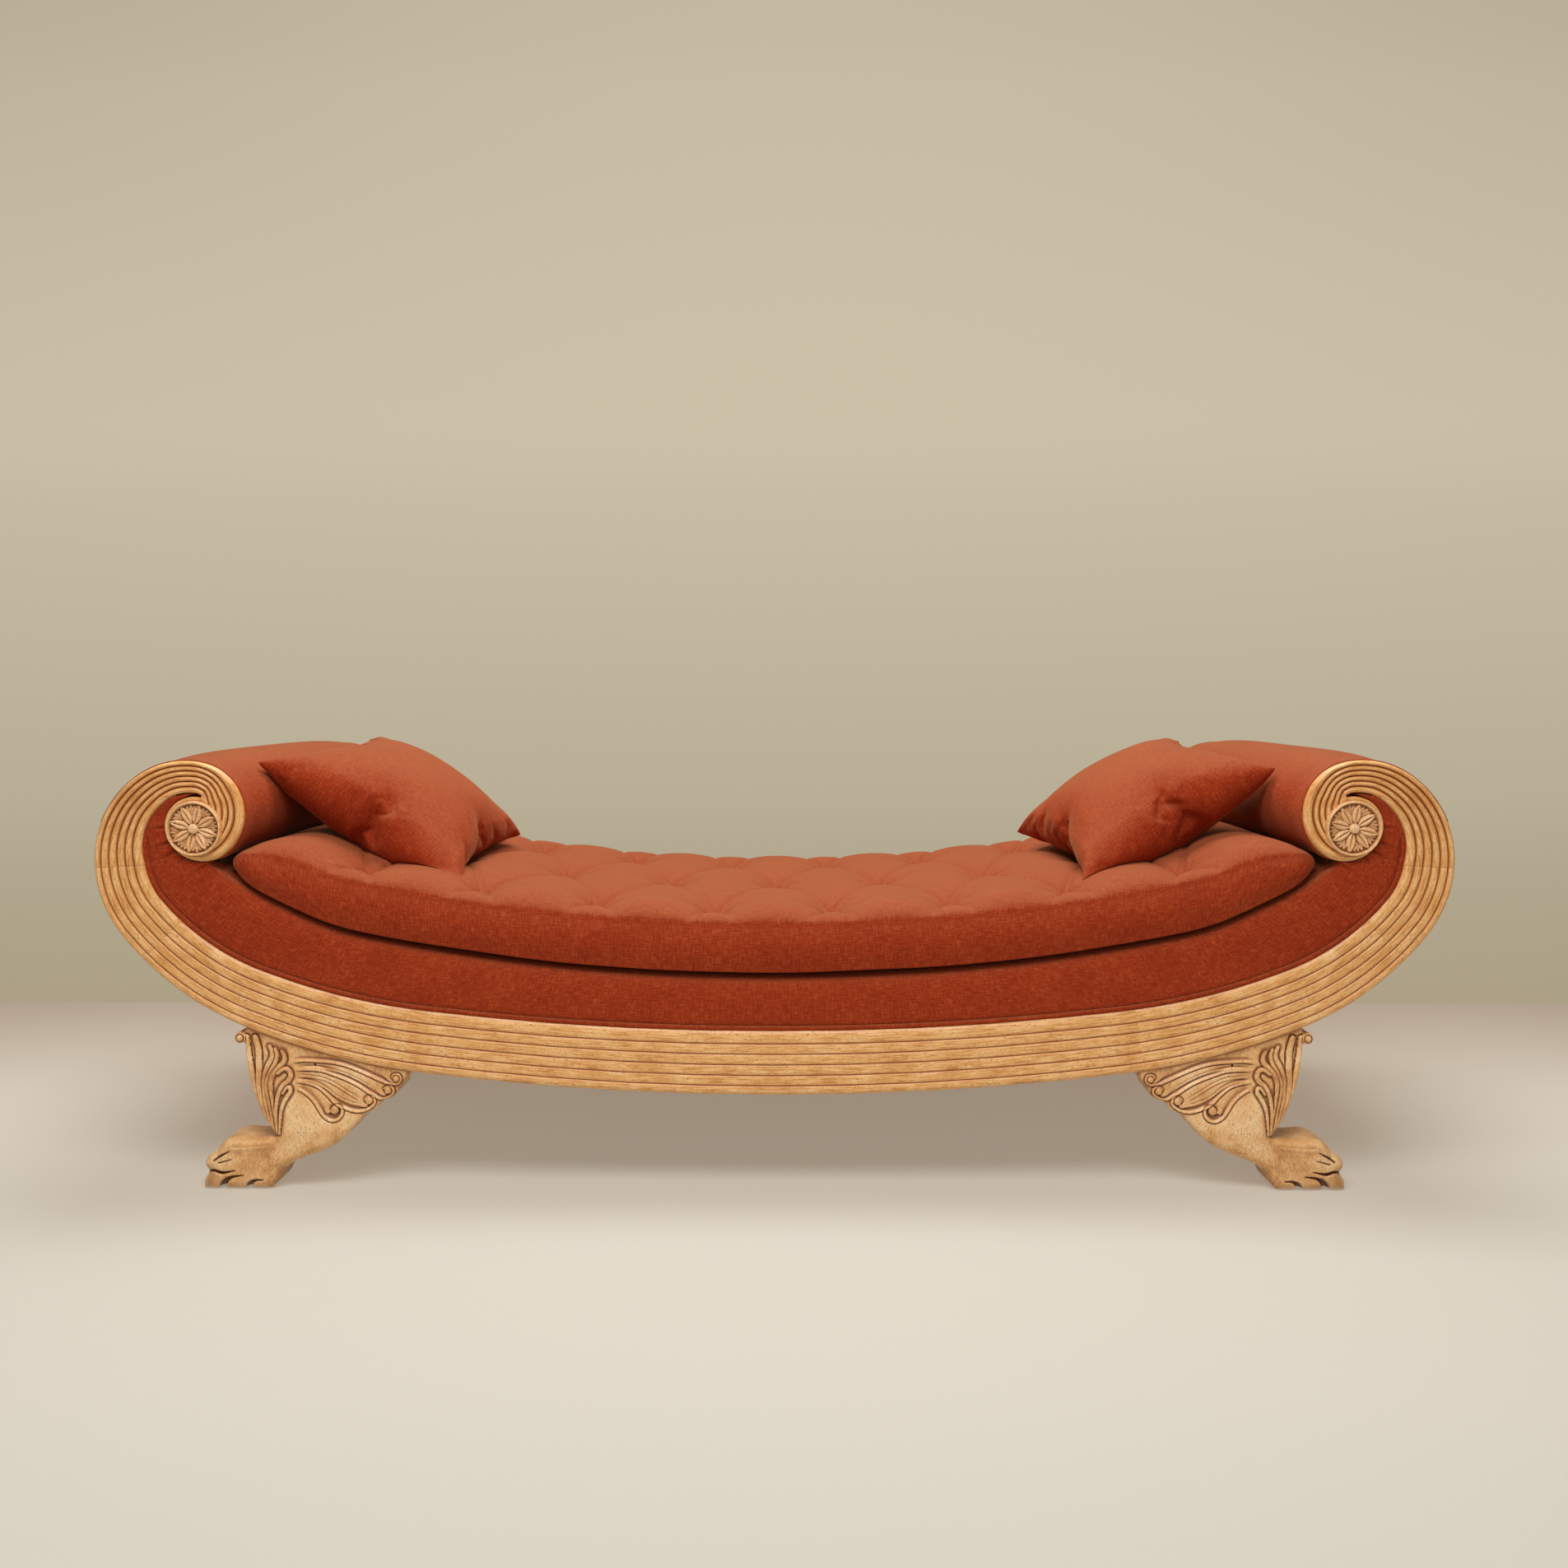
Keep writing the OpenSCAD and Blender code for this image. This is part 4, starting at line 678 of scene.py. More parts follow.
def leg_master():
    """The front right leg as a mesh; the others mirror it."""
    under_rail = [(s, rail_above(s)) for s in np.arange(348, 82, -12.0)]
    angles = np.radians(np.arange(50, 290, 20))
    curl = [(TOP_CURL[0] + TOP_CURL[2] * c, TOP_CURL[1] + TOP_CURL[2] * n)
            for c, n in zip(np.cos(angles), np.sin(angles))]
    sole, shin = smooth_line(LEG_SOLE[1:], 3), smooth_line(LEG_FRONT, 3)
    outline = [LEG_SOLE[0]] + [tuple(p) for p in sole] + under_rail + curl + [tuple(p) for p in shin]
    bm = bmesh.new()
    extruded(bm, [(LEG_TOE_X - s * MM, z * MM) for s, z in outline], LEG_FACE_Y, LEG_BACK_Y)
    # Behind the rail the same board goes on up to the cross rail that the bolts pull it to
    low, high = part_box("cross_rail_right")
    left, right = (low.x + high.x - HAUNCH_WIDTH) / 2, (low.x + high.x + HAUNCH_WIDTH) / 2
    extruded(bm, [(left, HAUNCH_LOW), (right, HAUNCH_LOW), (right, HAUNCH_HIGH), (left, HAUNCH_HIGH)],
             RAIL_BACK_Y + RAIL_GAP, LEG_BACK_Y)
    bmesh.ops.recalc_face_normals(bm, faces=bm.faces)
    blank = bpy.data.objects.new("leg_blank", bpy.data.meshes.new("leg_blank"))
    bm.to_mesh(blank.data)
    bm.free()
    bpy.context.scene.collection.objects.link(blank)
    mesh = applied(blank, type="REMESH", mode="VOXEL", voxel_size=LEG_VOXEL, adaptivity=0.0)
    bpy.data.objects.remove(blank)
    # The carved face needs finer steps than the rest
    bm = bmesh.new()
    bm.from_mesh(mesh)
    near_face = [e for e in bm.edges if max(v.co.y for v in e.verts) < LEG_FACE_Y + LEG_VOXEL]
    bmesh.ops.subdivide_edges(bm, edges=near_face, cuts=1, use_grid_fill=True)
    bm.to_mesh(mesh)
    bm.free()
    at = points_of(mesh)
    flat = np.stack([(LEG_TOE_X - at[:, 0]) / MM, at[:, 2] / MM], 1)
    border = np.array(outline + outline[:1], float)
    edge, _, _ = to_line(flat, border)
    roof = np.array(under_rail, float)
    from_roof, _, _ = to_line(flat, roof)
    # Edges are rounded by 15 mm on the calf and paw and by 6 mm on the carved leaves, but not
    # where the leg meets the rail
    carved = np.clip((flat[:, 1] - 95) / 40, 0, 1)
    radius = 15 - 9 * carved
    t = np.clip(edge / radius, 0, 1)
    rounded = radius * (1 - np.sqrt(np.clip(1 - (1 - t) ** 2, 0, 1))) * np.clip(from_roof / 12, 0, 1)
    relief = leg_relief()
    calf = 4.0 * gauss(np.hypot((flat[:, 0] - 190) / 60, (flat[:, 1] - 110) / 42), 1)
    middle, thick = (LEG_FACE_Y + LEG_BACK_Y) / 2, (LEG_BACK_Y - LEG_FACE_Y) / 2
    side = (at[:, 1] - middle) / thick
    front_y = LEG_FACE_Y + (rounded + 2.6 - calf - read_grid(blurred(relief, 1), flat)) * MM
    back_y = LEG_BACK_Y - 0.8 * rounded * MM
    at[:, 1] = np.where(side < 0, middle - (front_y - middle) * side, middle + (back_y - middle) * side)
    # Toes side by side, parted at the front end of the paw
    toe = np.clip(1 - flat[:, 0] / 50, 0, 1) * np.clip((60 - flat[:, 1]) / 25, 0, 1)
    parting = 1 - np.abs(np.sin(1.5 * math.pi * (at[:, 1] - LEG_FACE_Y) / (LEG_BACK_Y - LEG_FACE_Y))) ** 0.45
    at[:, 0] -= parting * toe * 4.5 * MM
    at[:, 2] = np.maximum(at[:, 2], 0)
    mesh.vertices.foreach_set("co", at.ravel())
    hollow = np.clip((read_grid(blurred(relief, 5) - relief, flat)) / 1.1, 0, 1)
    broad = np.clip((read_grid(blurred(relief, 12) - relief, flat)) / 2.4, 0, 0.75)
    hollow = np.maximum(hollow, broad) * (side < -0.5)
    hollow = np.maximum(hollow, np.clip(toe * parting * 1.5 - 0.2, 0, 1))
    hollow = np.maximum(hollow, 0.55 * np.clip(1 - from_roof / 4, 0, 1))
    set_values(mesh, "groove", "FLOAT", hollow)
    set_values(mesh, "grain", "FLOAT_VECTOR", at)
    mesh.update()
    return mesh


leg_wood = carved_wood("waxed_carved_leg_wood", "#FFD39A", "#F0B473", "#C88849", "#A4602A", "#4E220E",
                       (1.0, 1.0, 0.25), figure=0.4, polish=0.25)
leg_mesh = leg_master()
for face, mirror_y in (("front", False), ("rear", True)):
    for side, mirror_x in (("left", True), ("right", False)):
        bm = bmesh.new()
        bm.from_mesh(leg_mesh)
        flip(bm, mirror_x, mirror_y)
        if mirror_x != mirror_y:
            bmesh.ops.reverse_faces(bm, faces=bm.faces)
        make_piece(bm, f"carved_{face}_leg_{side}", leg_wood, "frame",
                   [f"{face}_leg_{side}"])

# Inner frame
# What the cloth hides: beech boards, ledgers, slats, stretchers, cross rails and roll cores,
# zinc-plated bolts and screws, brass inserts, foam, and black cloth tacked under the seat.


def plain_wood(name, light, dark, stretch):
    """Planed, unfinished beech with short brown flecks along the grain."""
    made, tree, shader = new_material(name)
    where = add(tree, "ShaderNodeTexCoord").outputs["Object"]
    along = add(tree, "ShaderNodeMapping", {"Vector": where, "Scale": stretch})
    grain = add(tree, "ShaderNodeTexNoise", {"Vector": along.outputs[0], "Scale": 160.0, "Detail": 6.0,
                                             "Roughness": 0.6})
    fleck = add(tree, "ShaderNodeTexVoronoi", {"Vector": along.outputs[0], "Scale": 420.0})
    spot = add(tree, "ShaderNodeMapRange", {0: fleck.outputs["Distance"], 1: 0.05, 2: 0.25, 3: 0.5, 4: 0.0})
    wood = add(tree, "ShaderNodeValToRGB", {0: grain.outputs[0]}, ramp=[(0.35, dark), (0.62, light)])
    colour = add(tree, "ShaderNodeMix", {0: spot.outputs[0], 6: wood.outputs[0], 7: linear(dark)},
                 data_type="RGBA")
    tree.links.new(colour.outputs[2], shader.inputs["Base Color"])
    shader.inputs["Roughness"].default_value = 0.62
    bump = add(tree, "ShaderNodeBump", {"Height": grain.outputs[0], "Strength": 0.3, "Distance": 0.3 * MM})
    tree.links.new(bump.outputs[0], shader.inputs["Normal"])
    return made


def bright_metal(name, colour, rough):
    """Plated or turned metal with faint scuffs."""
    made, tree, shader = new_material(name)
    where = add(tree, "ShaderNodeTexCoord").outputs["Object"]
    scuff = add(tree, "ShaderNodeTexNoise", {"Vector": where, "Scale": 240.0, "Detail": 4.0})
    shine = add(tree, "ShaderNodeMapRange", {0: scuff.outputs[0], 1: 0.3, 2: 0.7, 3: rough, 4: rough + 0.2})
    tree.links.new(shine.outputs[0], shader.inputs["Roughness"])
    shader.inputs["Base Color"].default_value = linear(colour)
    shader.inputs["Metallic"].default_value = 1.0
    return made


def open_foam(name, light, dark):
    """Open-celled foam: pale, matt and finely pitted."""
    made, tree, shader = new_material(name)
    where = add(tree, "ShaderNodeTexCoord").outputs["Object"]
    cell = add(tree, "ShaderNodeTexVoronoi", {"Vector": where, "Scale": 700.0})
    colour = add(tree, "ShaderNodeValToRGB", {0: cell.outputs["Distance"]}, ramp=[(0.1, light), (0.7, dark)])
    tree.links.new(colour.outputs[0], shader.inputs["Base Color"])
    shader.inputs["Roughness"].default_value = 0.95
    bump = add(tree, "ShaderNodeBump", {"Height": cell.outputs["Distance"], "Strength": 0.5,
                                       "Distance": 0.6 * MM})
    tree.links.new(bump.outputs[0], shader.inputs["Normal"])
    return made


def felted_cloth(name, light, dark):
    """Thin black non-woven cloth, pressed from short fibres."""
    made, tree, shader = new_material(name)
    where = add(tree, "ShaderNodeTexCoord").outputs["Object"]
    fibre = add(tree, "ShaderNodeTexNoise", {"Vector": where, "Scale": 900.0, "Detail": 5.0,
                                            "Distortion": 2.0})
    colour = add(tree, "ShaderNodeValToRGB", {0: fibre.outputs[0]}, ramp=[(0.35, dark), (0.65, light)])
    tree.links.new(colour.outputs[0], shader.inputs["Base Color"])
    shader.inputs["Roughness"].default_value = 0.9
    return made


beech_along = plain_wood("planed_beech_along_the_frame", "#D9B68A", "#B98E5E", (0.07, 1.0, 1.0))
beech_across = plain_wood("planed_beech_across_the_frame", "#D6B285", "#B58A5A", (1.0, 0.07, 1.0))
zinc = bright_metal("zinc_plated_steel", "#B9BCBE", 0.3)
brass = bright_metal("turned_brass", "#C9A24E", 0.28)
foam = open_foam("pale_upholstery_foam", "#EFE6C8", "#CDBF96")
black_cloth = felted_cloth("black_dust_cloth", "#2E2D2C", "#161616")
INNER_MATERIALS = [("cross_rail", beech_across), ("stretcher", beech_across), ("roll_core", beech_across),
                   ("slats", beech_across), ("outside_board", beech_across), ("border_board", beech_along),
                   ("ledger", beech_along), ("dowels", beech_along), ("leg_bolts", zinc),
                   ("washers", zinc), ("screws", zinc), ("inserts", brass), ("foam", foam), ("pad", foam),
                   ("filling", foam), ("dust_cover", black_cloth)]
for node_name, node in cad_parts.items():
    for part, material in INNER_MATERIALS:
        if part in node_name:
            node.data.materials.clear()
            node.data.materials.append(material)

# Border panels
# Foam-backed linen fills the front and the rear between the rails and the seat. It is tacked
# to a board behind it, goes in behind the volutes' rings, and pulls in short pleats there.
DECK_ARCS = [(6, 3.21), (6, 2.67), (12, 0.356), (4, 1.234), (10, 0.507)]
DECK_END = sum(arc[0] for arc in DECK_ARCS)
SEAT_GAP = 0.4 * MM
DECK_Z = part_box("mattress")[0].z - SEAT_GAP
BORDER_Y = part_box("front_border_cover")[0].y
PIPING_D = 9 * MM
RING_START, RING_END, PANEL_END = 352, 516, 190
CLOTH = 2 * MM


def linen(name, deep, body, pale):
    """Plain-woven linen in rust: uneven threads both ways, pale slubs, painted light that makes the cloth
    paler where it faces up, and a faint bloom where it is seen edge on."""
    made, tree, shader = new_material(name)
    where = add(tree, "ShaderNodeAttribute", attribute_name="cloth").outputs["Vector"]
    threads = []
    # Real threads are 0.5 mm apart, and are drawn 2 mm apart so that they show
    for stretch in ((60.0, 480.0, 1.0), (480.0, 60.0, 1.0)):
        run = add(tree, "ShaderNodeMapping", {"Vector": where, "Scale": stretch})
        thread = add(tree, "ShaderNodeTexNoise", {"Vector": run.outputs[0], "Scale": 1.0, "Detail": 2.0,
                                                 "Roughness": 0.6})
        threads.append(thread.outputs[0])
    weave = add(tree, "ShaderNodeMath", {0: threads[0], 1: threads[1]}, operation="ADD")
    weave = add(tree, "ShaderNodeMath", {0: weave.outputs[0], 1: 0.5}, operation="MULTIPLY")
    cloud = add(tree, "ShaderNodeTexNoise", {"Vector": where, "Scale": 11.0, "Detail": 4.0,
                                            "Roughness": 0.6})
    mixed = add(tree, "ShaderNodeMath", {0: cloud.outputs[0], 1: 0.14, 2: 0.08}, operation="MULTIPLY_ADD")
    mixed = add(tree, "ShaderNodeMath", {0: weave.outputs[0], 1: 0.7, 2: mixed.outputs[0]},
                operation="MULTIPLY_ADD")
    colour = add(tree, "ShaderNodeValToRGB", {0: mixed.outputs[0]},
                 ramp=[(0.37, deep), (0.5, body), (0.64, pale)])
    # Pale slubs, a millimetre or two long
    slub = add(tree, "ShaderNodeTexNoise", {"Vector": where, "Scale": 330.0, "Detail": 2.0})
    slub = add(tree, "ShaderNodeMapRange", {0: slub.outputs[0], 1: 0.7, 2: 0.78, 3: 0.0, 4: 0.35})
    colour = add(tree, "ShaderNodeMix", {0: slub.outputs[0], 6: colour.outputs[0], 7: linear(pale)},
                 data_type="RGBA")
    # Painted light from above: the cloth is paler where it faces up, some threads more than others
    upward = add(tree, "ShaderNodeSeparateXYZ", {0: add(tree, "ShaderNodeNewGeometry").outputs["Normal"]})
    painted_top_light = add(tree, "ShaderNodeMapRange", {0: upward.outputs[2], 1: 0.1, 2: 1.0, 3: 0.0, 4: 0.6},
                interpolation_type="SMOOTHSTEP")
    uneven = add(tree, "ShaderNodeMath", {0: weave.outputs[0], 1: 2.4, 2: -0.2}, operation="MULTIPLY_ADD")
    painted_top_light = add(tree, "ShaderNodeMath", {0: painted_top_light.outputs[0], 1: uneven.outputs[0]}, operation="MULTIPLY",
                use_clamp=True)
    colour = add(tree, "ShaderNodeMix", {0: painted_top_light.outputs[0], 6: colour.outputs[2], 7: linear("#8E5334")},
                 data_type="RGBA")
    tree.links.new(colour.outputs[2], shader.inputs["Base Color"])
    shader.inputs["Roughness"].default_value = 0.92
    shader.inputs["Specular IOR Level"].default_value = 0.15
    shader.inputs["Sheen Weight"].default_value = 0.2
    shader.inputs["Sheen Roughness"].default_value = 0.35
    shader.inputs["Sheen Tint"].default_value = linear("#FFD18E")
    bump = add(tree, "ShaderNodeBump", {"Height": weave.outputs[0], "Strength": 0.5, "Distance": 0.5 * MM})
    tree.links.new(bump.outputs[0], shader.inputs["Normal"])
    return made


rust_linen = linen("rust_linen", "#7B260B", "#993212", "#B85028")


def deck_point(h, depth=0.0):
    """X and Z on the deck's line at a heading, or that far below it."""
    x, z = arc_point(DECK_ARCS, h)
    slope = math.atan2(SCALE_Z * math.sin(math.radians(h)), SCALE_X * math.cos(math.radians(h)))
    return Vector((x * SCALE_X + depth * math.sin(slope), DECK_Z + z * SCALE_Z - depth * math.cos(slope)))


DECK_TABLE = np.array([tuple(deck_point(h)) for h in np.linspace(0, DECK_END, 160)])


def deck_height(x):
    """Z of the deck's cloth at places along the daybed."""
    return np.interp(np.abs(x), DECK_TABLE[:, 0], DECK_TABLE[:, 1])


def inner_edge(h, depth=0.0):
    """X and Z on the rails' inner edge at a heading, or that far inside it."""
    return edge_point(h, rail_width(h) + depth)


def lengths_along(points):
    """Length along a line of 2-D points, up to each of them."""
    return np.concatenate([[0], np.cumsum(np.hypot(*np.diff(points, axis=0).T))])


def evenly(points, count):
    """That many points, evenly spaced along a line of 2-D points."""
    p = np.array([tuple(q) for q in points])
    run = lengths_along(p)
    at = np.linspace(0, run[-1], count)
    return np.stack([np.interp(at, run, p[:, k]) for k in (0, 1)], 1)


def lines_of(columns):
    """Matching points on the panel's lower and upper edges, from mid length to the ring's end."""
    seat_end = deck_point(DECK_END)
    meet = min(np.arange(30, 110, 0.5), key=lambda h: (inner_edge(h) - seat_end).length)
    low = np.vstack([evenly([inner_edge(h) for h in np.linspace(0, meet, 90)], columns[0])[:-1],
                     evenly([inner_edge(h) for h in np.linspace(meet, PANEL_END, 90)], columns[1])])
    high = np.vstack([evenly([deck_point(h) for h in np.linspace(0, DECK_END, 90)], columns[0])[:-1],
                      evenly([edge_point(h, -0.2 * MM) for h in np.linspace(RING_START, RING_END, 90)],
                             columns[1])])
    return low, high


PANEL_COLUMNS = (260, 380)
# Rows near the two edges as distances in from the edge and set back behind the face, in mm
PANEL_FOOT = [(4.6, 12), (4.7, 8), (6.2, 5.2), (8, 3.4), (9.4, 2.4), (10.6, 1.4), (12.5, 0.5), (16, 0.1)]
PANEL_HEAD = [(34, 0), (26, 0.3), (19, 0.8), (13, 1.7), (8, 3.0), (4.4, 4.8), (1.8, 7.6), (0.5, 12)]
PANEL_MIDDLE = 36
PANEL_LEAN = 5 * MM
PANEL_CROWN = 2.2 * MM
# Pleats on the right as ends in mm from the eye, and how deep they pull
PLEATS = [((40, 2.5), (66, -1.5), 2.6), ((36, -20), (58, -29), 3.4), ((56, -28), (66, -36), 2.0),
          ((29, -31), (54, -51), 4.0), ((20, -42), (31, -60), 2.4)]


def pleat_depth(x, z):
    """How far the short pleats beside the eye pull the cloth in at a place."""
    total = 0.0
    for first, last, pull in PLEATS:
        a, b = Vector(first) * MM + EYE, Vector(last) * MM + EYE
        run = b - a
        t = min(max((Vector((x, z)) - a).dot(run) / run.length_squared, 0), 1)
        d = ((Vector((x, z)) - a) - run * t).length / MM
        fade = math.sin(math.pi * min(1, 0.08 + 0.92 * (1 - t))) ** 0.5 if t < 1 else 0.3
        total += pull * (math.exp(-(d / 1.9) ** 2) - 0.45 * math.exp(-((d - 5) / 2.6) ** 2)) * fade
    return total * MM


def border_panel(name, mirror_y):
    """One padded panel, from eye to eye, with its edges turned back to the board."""
    low, high = lines_of(PANEL_COLUMNS)
    last = len(low) - 1
    rows = len(PANEL_FOOT) + PANEL_MIDDLE + len(PANEL_HEAD) - 1
    along = lengths_along(low)
    bm = bmesh.new()
    cloth = bm.verts.layers.float_vector.new("cloth")
    for v, i, j in grid_points(bm, last, rows + 1):
        j %= rows + 1
        a, b = Vector(low[i]), Vector(high[i])
        width = (b - a).length / MM
        squeeze = min(1.0, width / 40)
        tight = min(max((i - PANEL_COLUMNS[0] + 6) / 12, 0), 1)
        if j < len(PANEL_FOOT):
            at, back = PANEL_FOOT[j][0] * squeeze, PANEL_FOOT[j][1]
        elif j > rows - len(PANEL_HEAD):
            at, back = PANEL_HEAD[j - rows - 1][0] * squeeze, PANEL_HEAD[j - rows - 1][1]
            at, back = width - at, back * (1 - 0.8 * tight)
        else:
            start, end = PANEL_FOOT[-1][0] * squeeze, width - PANEL_HEAD[0][0] * squeeze
            at = start + (end - start) * (j - len(PANEL_FOOT) + 1) / PANEL_MIDDLE
            back = 0.0
        share = at / width
        p = a.lerp(b, share)
        y = BORDER_Y + back * MM - PANEL_CROWN * squeeze * math.sin(math.pi * share)
        y += PANEL_LEAN * share * share * (1 - tight)
        y += pleat_depth(p.x, p.y)
        if j in (0, rows):
            y = RAIL_BACK_Y
        elif i == last:
            y = RAIL_BACK_Y - 1.5 * MM
        elif i > last - 8:
            y += (RAIL_BACK_Y - y) * (1 - (last - i) / 8) ** 2 * 0.5
        v.co = (p.x, y, p.y)
        v[cloth] = (along[i], at * MM, 0)
    bmesh.ops.remove_doubles(bm, verts=bm.verts, dist=SEAM)
    bmesh.ops.mirror(bm, geom=bm.verts[:] + bm.edges[:] + bm.faces[:], axis="X", merge_dist=MIRROR_SEAM)
    flip(bm, False, mirror_y)
    close_ends(bm, SEAM)
    panel = make_piece(bm, name, rust_linen, "frame",
                       [name.replace("panel", "cover"), name.replace("panel", "pad")])


border_panel("front_border_panel", False)
border_panel("rear_border_panel", True)

# Piping
# A cord covered in the same linen is tacked into the corner between panel and rail, from one
# eye to the other.
PIPING_Y = BORDER_Y + PIPING_D / 3
PIPING_SIDES, PIPING_END = 14, 170


def tube(name, line, y, radius, material, body, replaced):
    """A closed round cord along a line of X and Z points."""
    last = len(line) - 1
    run = np.gradient(line, axis=0)
    out = np.stack([-run[:, 1], run[:, 0]], 1) / np.hypot(run[:, 0], run[:, 1])[:, None]
    along = lengths_along(line)
    bm = bmesh.new()
    cloth = bm.verts.layers.float_vector.new("cloth")
    for v, i, j in grid_points(bm, last, PIPING_SIDES):
        angle = 2 * math.pi * j / PIPING_SIDES
        reach = radius * (1 + 0.035 * math.sin(along[i] * 140) * math.sin(along[i] * 47))
        side = out[i] * math.cos(angle) * reach
        v.co = (line[i][0] + side[0], y + math.sin(angle) * reach, line[i][1] + side[1])
        v[cloth] = (along[i], angle * radius, 0)
    close_ends(bm, SEAM)
    return make_piece(bm, name, material, body, replaced)


half_line = evenly([inner_edge(h, PIPING_D / 2 + 0.1 * MM) for h in np.linspace(0, PIPING_END, 300)], 420)
piping_line = np.vstack([(half_line * (-1, 1))[:0:-1], half_line])
for face, turn_y in (("front", 1), ("rear", -1)):
    tube(f"{face}_piping_cord", piping_line, turn_y * PIPING_Y, PIPING_D / 2, rust_linen, "frame",
         [f"{face}_piping"])

# Deck cover
# One width of linen lies over the deck foam under the mattress and is tacked down at its ends.
# Its long edges stop short of the border panels.
DECK_COVER_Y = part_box("deck_cover")[1].y - 24 * MM
DECK_STEPS = (220, 40)


def deck_sheet():
    """The deck's linen as a thin closed sheet along the deck's curve."""
    bm = bmesh.new()
    cloth = bm.verts.layers.float_vector.new("cloth")
    half = evenly([deck_point(h) for h in np.linspace(0, DECK_END - 0.5, 90)], DECK_STEPS[0] // 2 + 1)
    top = np.vstack([(half * (-1, 1))[:0:-1], half])
    rows = 2 * DECK_STEPS[1] + 2
    for v, i, j in grid_points(bm, DECK_STEPS[0], rows):
        j %= rows
        upper = j <= DECK_STEPS[1]
        share = j / DECK_STEPS[1] if upper else (rows - j - 1) / DECK_STEPS[1]
        y = -DECK_COVER_Y + 2 * DECK_COVER_Y * min(max(share, 0), 1)
        dip = 0.15 * MM * (1 + math.sin(37 * top[i][0]) * math.sin(31 * y)) if upper else CLOTH
        v.co = (top[i][0], y, top[i][1] - dip)
        v[cloth] = (top[i][0], y, 0)
    close_ends(bm, SEAM)
    deck = make_piece(bm, "deck_linen", rust_linen, "frame", ["deck_cover"])


deck_sheet()

# Rolled ends
# Linen runs up each end from under the rails, over a thin board, and round a foam-padded roll
# between the volutes, where it is tacked down behind the mattress.
ROLL_BULGE = 12 * MM
BULGE_SHARES = [(90, 0), (150, 1), (250, 1), (330, 0)]
END_START, END_ROLL, ROLL_END, ROLL_INSIDE = 25, 150, 500, 185
END_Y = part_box("outside_cover_right")[1].y
END_ROWS = 64
# From HIDDEN_FROM on the cloth is out of sight. INSIDE marks points on its inner faces.
HIDDEN_FROM, INSIDE = 345, 999
# The cloth also comes forward over the volutes' edges: shares of the way from the cover's end to
# just behind the front face, and how far it stands off the wood in mm, out and then back under
FLAP_HEADINGS, FLAP_Y = (104, 112, 338, 345), -FRONT_Y - 7.5 * MM
FLAP_ROWS = [(0.3, 1.6), (0.7, 1.9), (0.94, 1.9), (1.0, 1.2), (1.0, 0.4), (0.5, 0.3), (0.0, 0.3)]


def end_path():
    """The end's section as points in X and Z with an outward share for its bulge."""
    headings = np.concatenate([np.arange(END_START, HIDDEN_FROM, 2.2),
                               np.arange(HIDDEN_FROM, ROLL_END, 6)])
    outer = [(edge_point(h), lookup(BULGE_SHARES, h) if h < HIDDEN_FROM else 0.0, h) for h in headings]
    inner = [(inner_edge(h), 0.0, INSIDE) for h in np.arange(ROLL_INSIDE, END_ROLL, -5.0)]
    under = [(edge_point(h, CLOTH), 0.0, INSIDE) for h in np.arange(END_ROLL, END_START, -5.0)]
    return outer + inner + under


def rolled_end(name, mirror_x):
    """The cloth of one end, from under the rails to behind the mattress, with its two flaps."""
    path = end_path()
    count = len(path)
    at = np.array([tuple(p[0]) for p in path])
    run = np.roll(at, -1, 0) - np.roll(at, 1, 0)
    out = np.stack([run[:, 1], -run[:, 0]], 1) / np.hypot(run[:, 0], run[:, 1])[:, None]
    along = lengths_along(at)
    flap = np.interp([p[2] for p in path], FLAP_HEADINGS, (0, 1, 1, 0))
    extra = len(FLAP_ROWS)
    rows = END_ROWS + 2 * extra

    def reach_at(i, y):
        """How far the cloth stands outside the section at a column and a place along Y."""
        h, share = path[i][2], abs(y) / END_Y
        if h == INSIDE:
            return 0.0
        inward = (END_Y - abs(y)) / MM
        tuck = 1.2 * (1 - math.sqrt(max(0.0, 1 - max(0.0, 1 - inward / 12) ** 2)))
        swell = ROLL_BULGE / MM * path[i][1] * (0.22 + 0.78 * (1 - share ** 5))
        crease = -0.4
        if h < HIDDEN_FROM:
            crease += 0.45 * math.sin(along[i] * 23 + 3 * y) * math.sin(9 * y + 1.3 * mirror_x)
            crease += 0.3 * math.sin(along[i] * 61 + 11 * y + 2 * mirror_x) * math.exp(-inward / 45)
        edge = math.exp(-inward / 6)
        return swell - tuck * (1 - flap[i]) + crease * (1 - edge) - 0.2 * edge * (1 - flap[i])

    bm = bmesh.new()
    cloth = bm.verts.layers.float_vector.new("cloth")
    for v, i, j in grid_points(bm, count, rows):
        i %= count
        side, row = (-1, extra - 1 - j) if j < extra else (1, j - extra - END_ROWS - 1)
        if row < 0:                              # between the flaps
            share = 2 * (j - extra) / END_ROWS - 1
            y = END_Y * math.copysign(abs(share) ** 0.8, share)
            reach = reach_at(i, y)
        else:
            ahead, off = FLAP_ROWS[row]
            start = reach_at(i, END_Y)
            y = side * (END_Y + (FLAP_Y - END_Y) * ahead * flap[i])
            reach = start + (off - start) * flap[i] * min(1, 3 * ahead if row < 4 else 1)
        p = at[i] + out[i] * reach * MM
        v.co = (p[0], y, p[1])
        v[cloth] = (y, along[i], 0)
    close_ends(bm, SEAM)
    if mirror_x:
        flip(bm, True, False)
        bmesh.ops.recalc_face_normals(bm, faces=bm.faces)
    side = "left" if mirror_x else "right"
    roll = make_piece(bm, name, rust_linen, "frame", [f"outside_cover_{side}", f"roll_pad_{side}"])


rolled_end("rolled_end_left", True)
rolled_end("rolled_end_right", False)

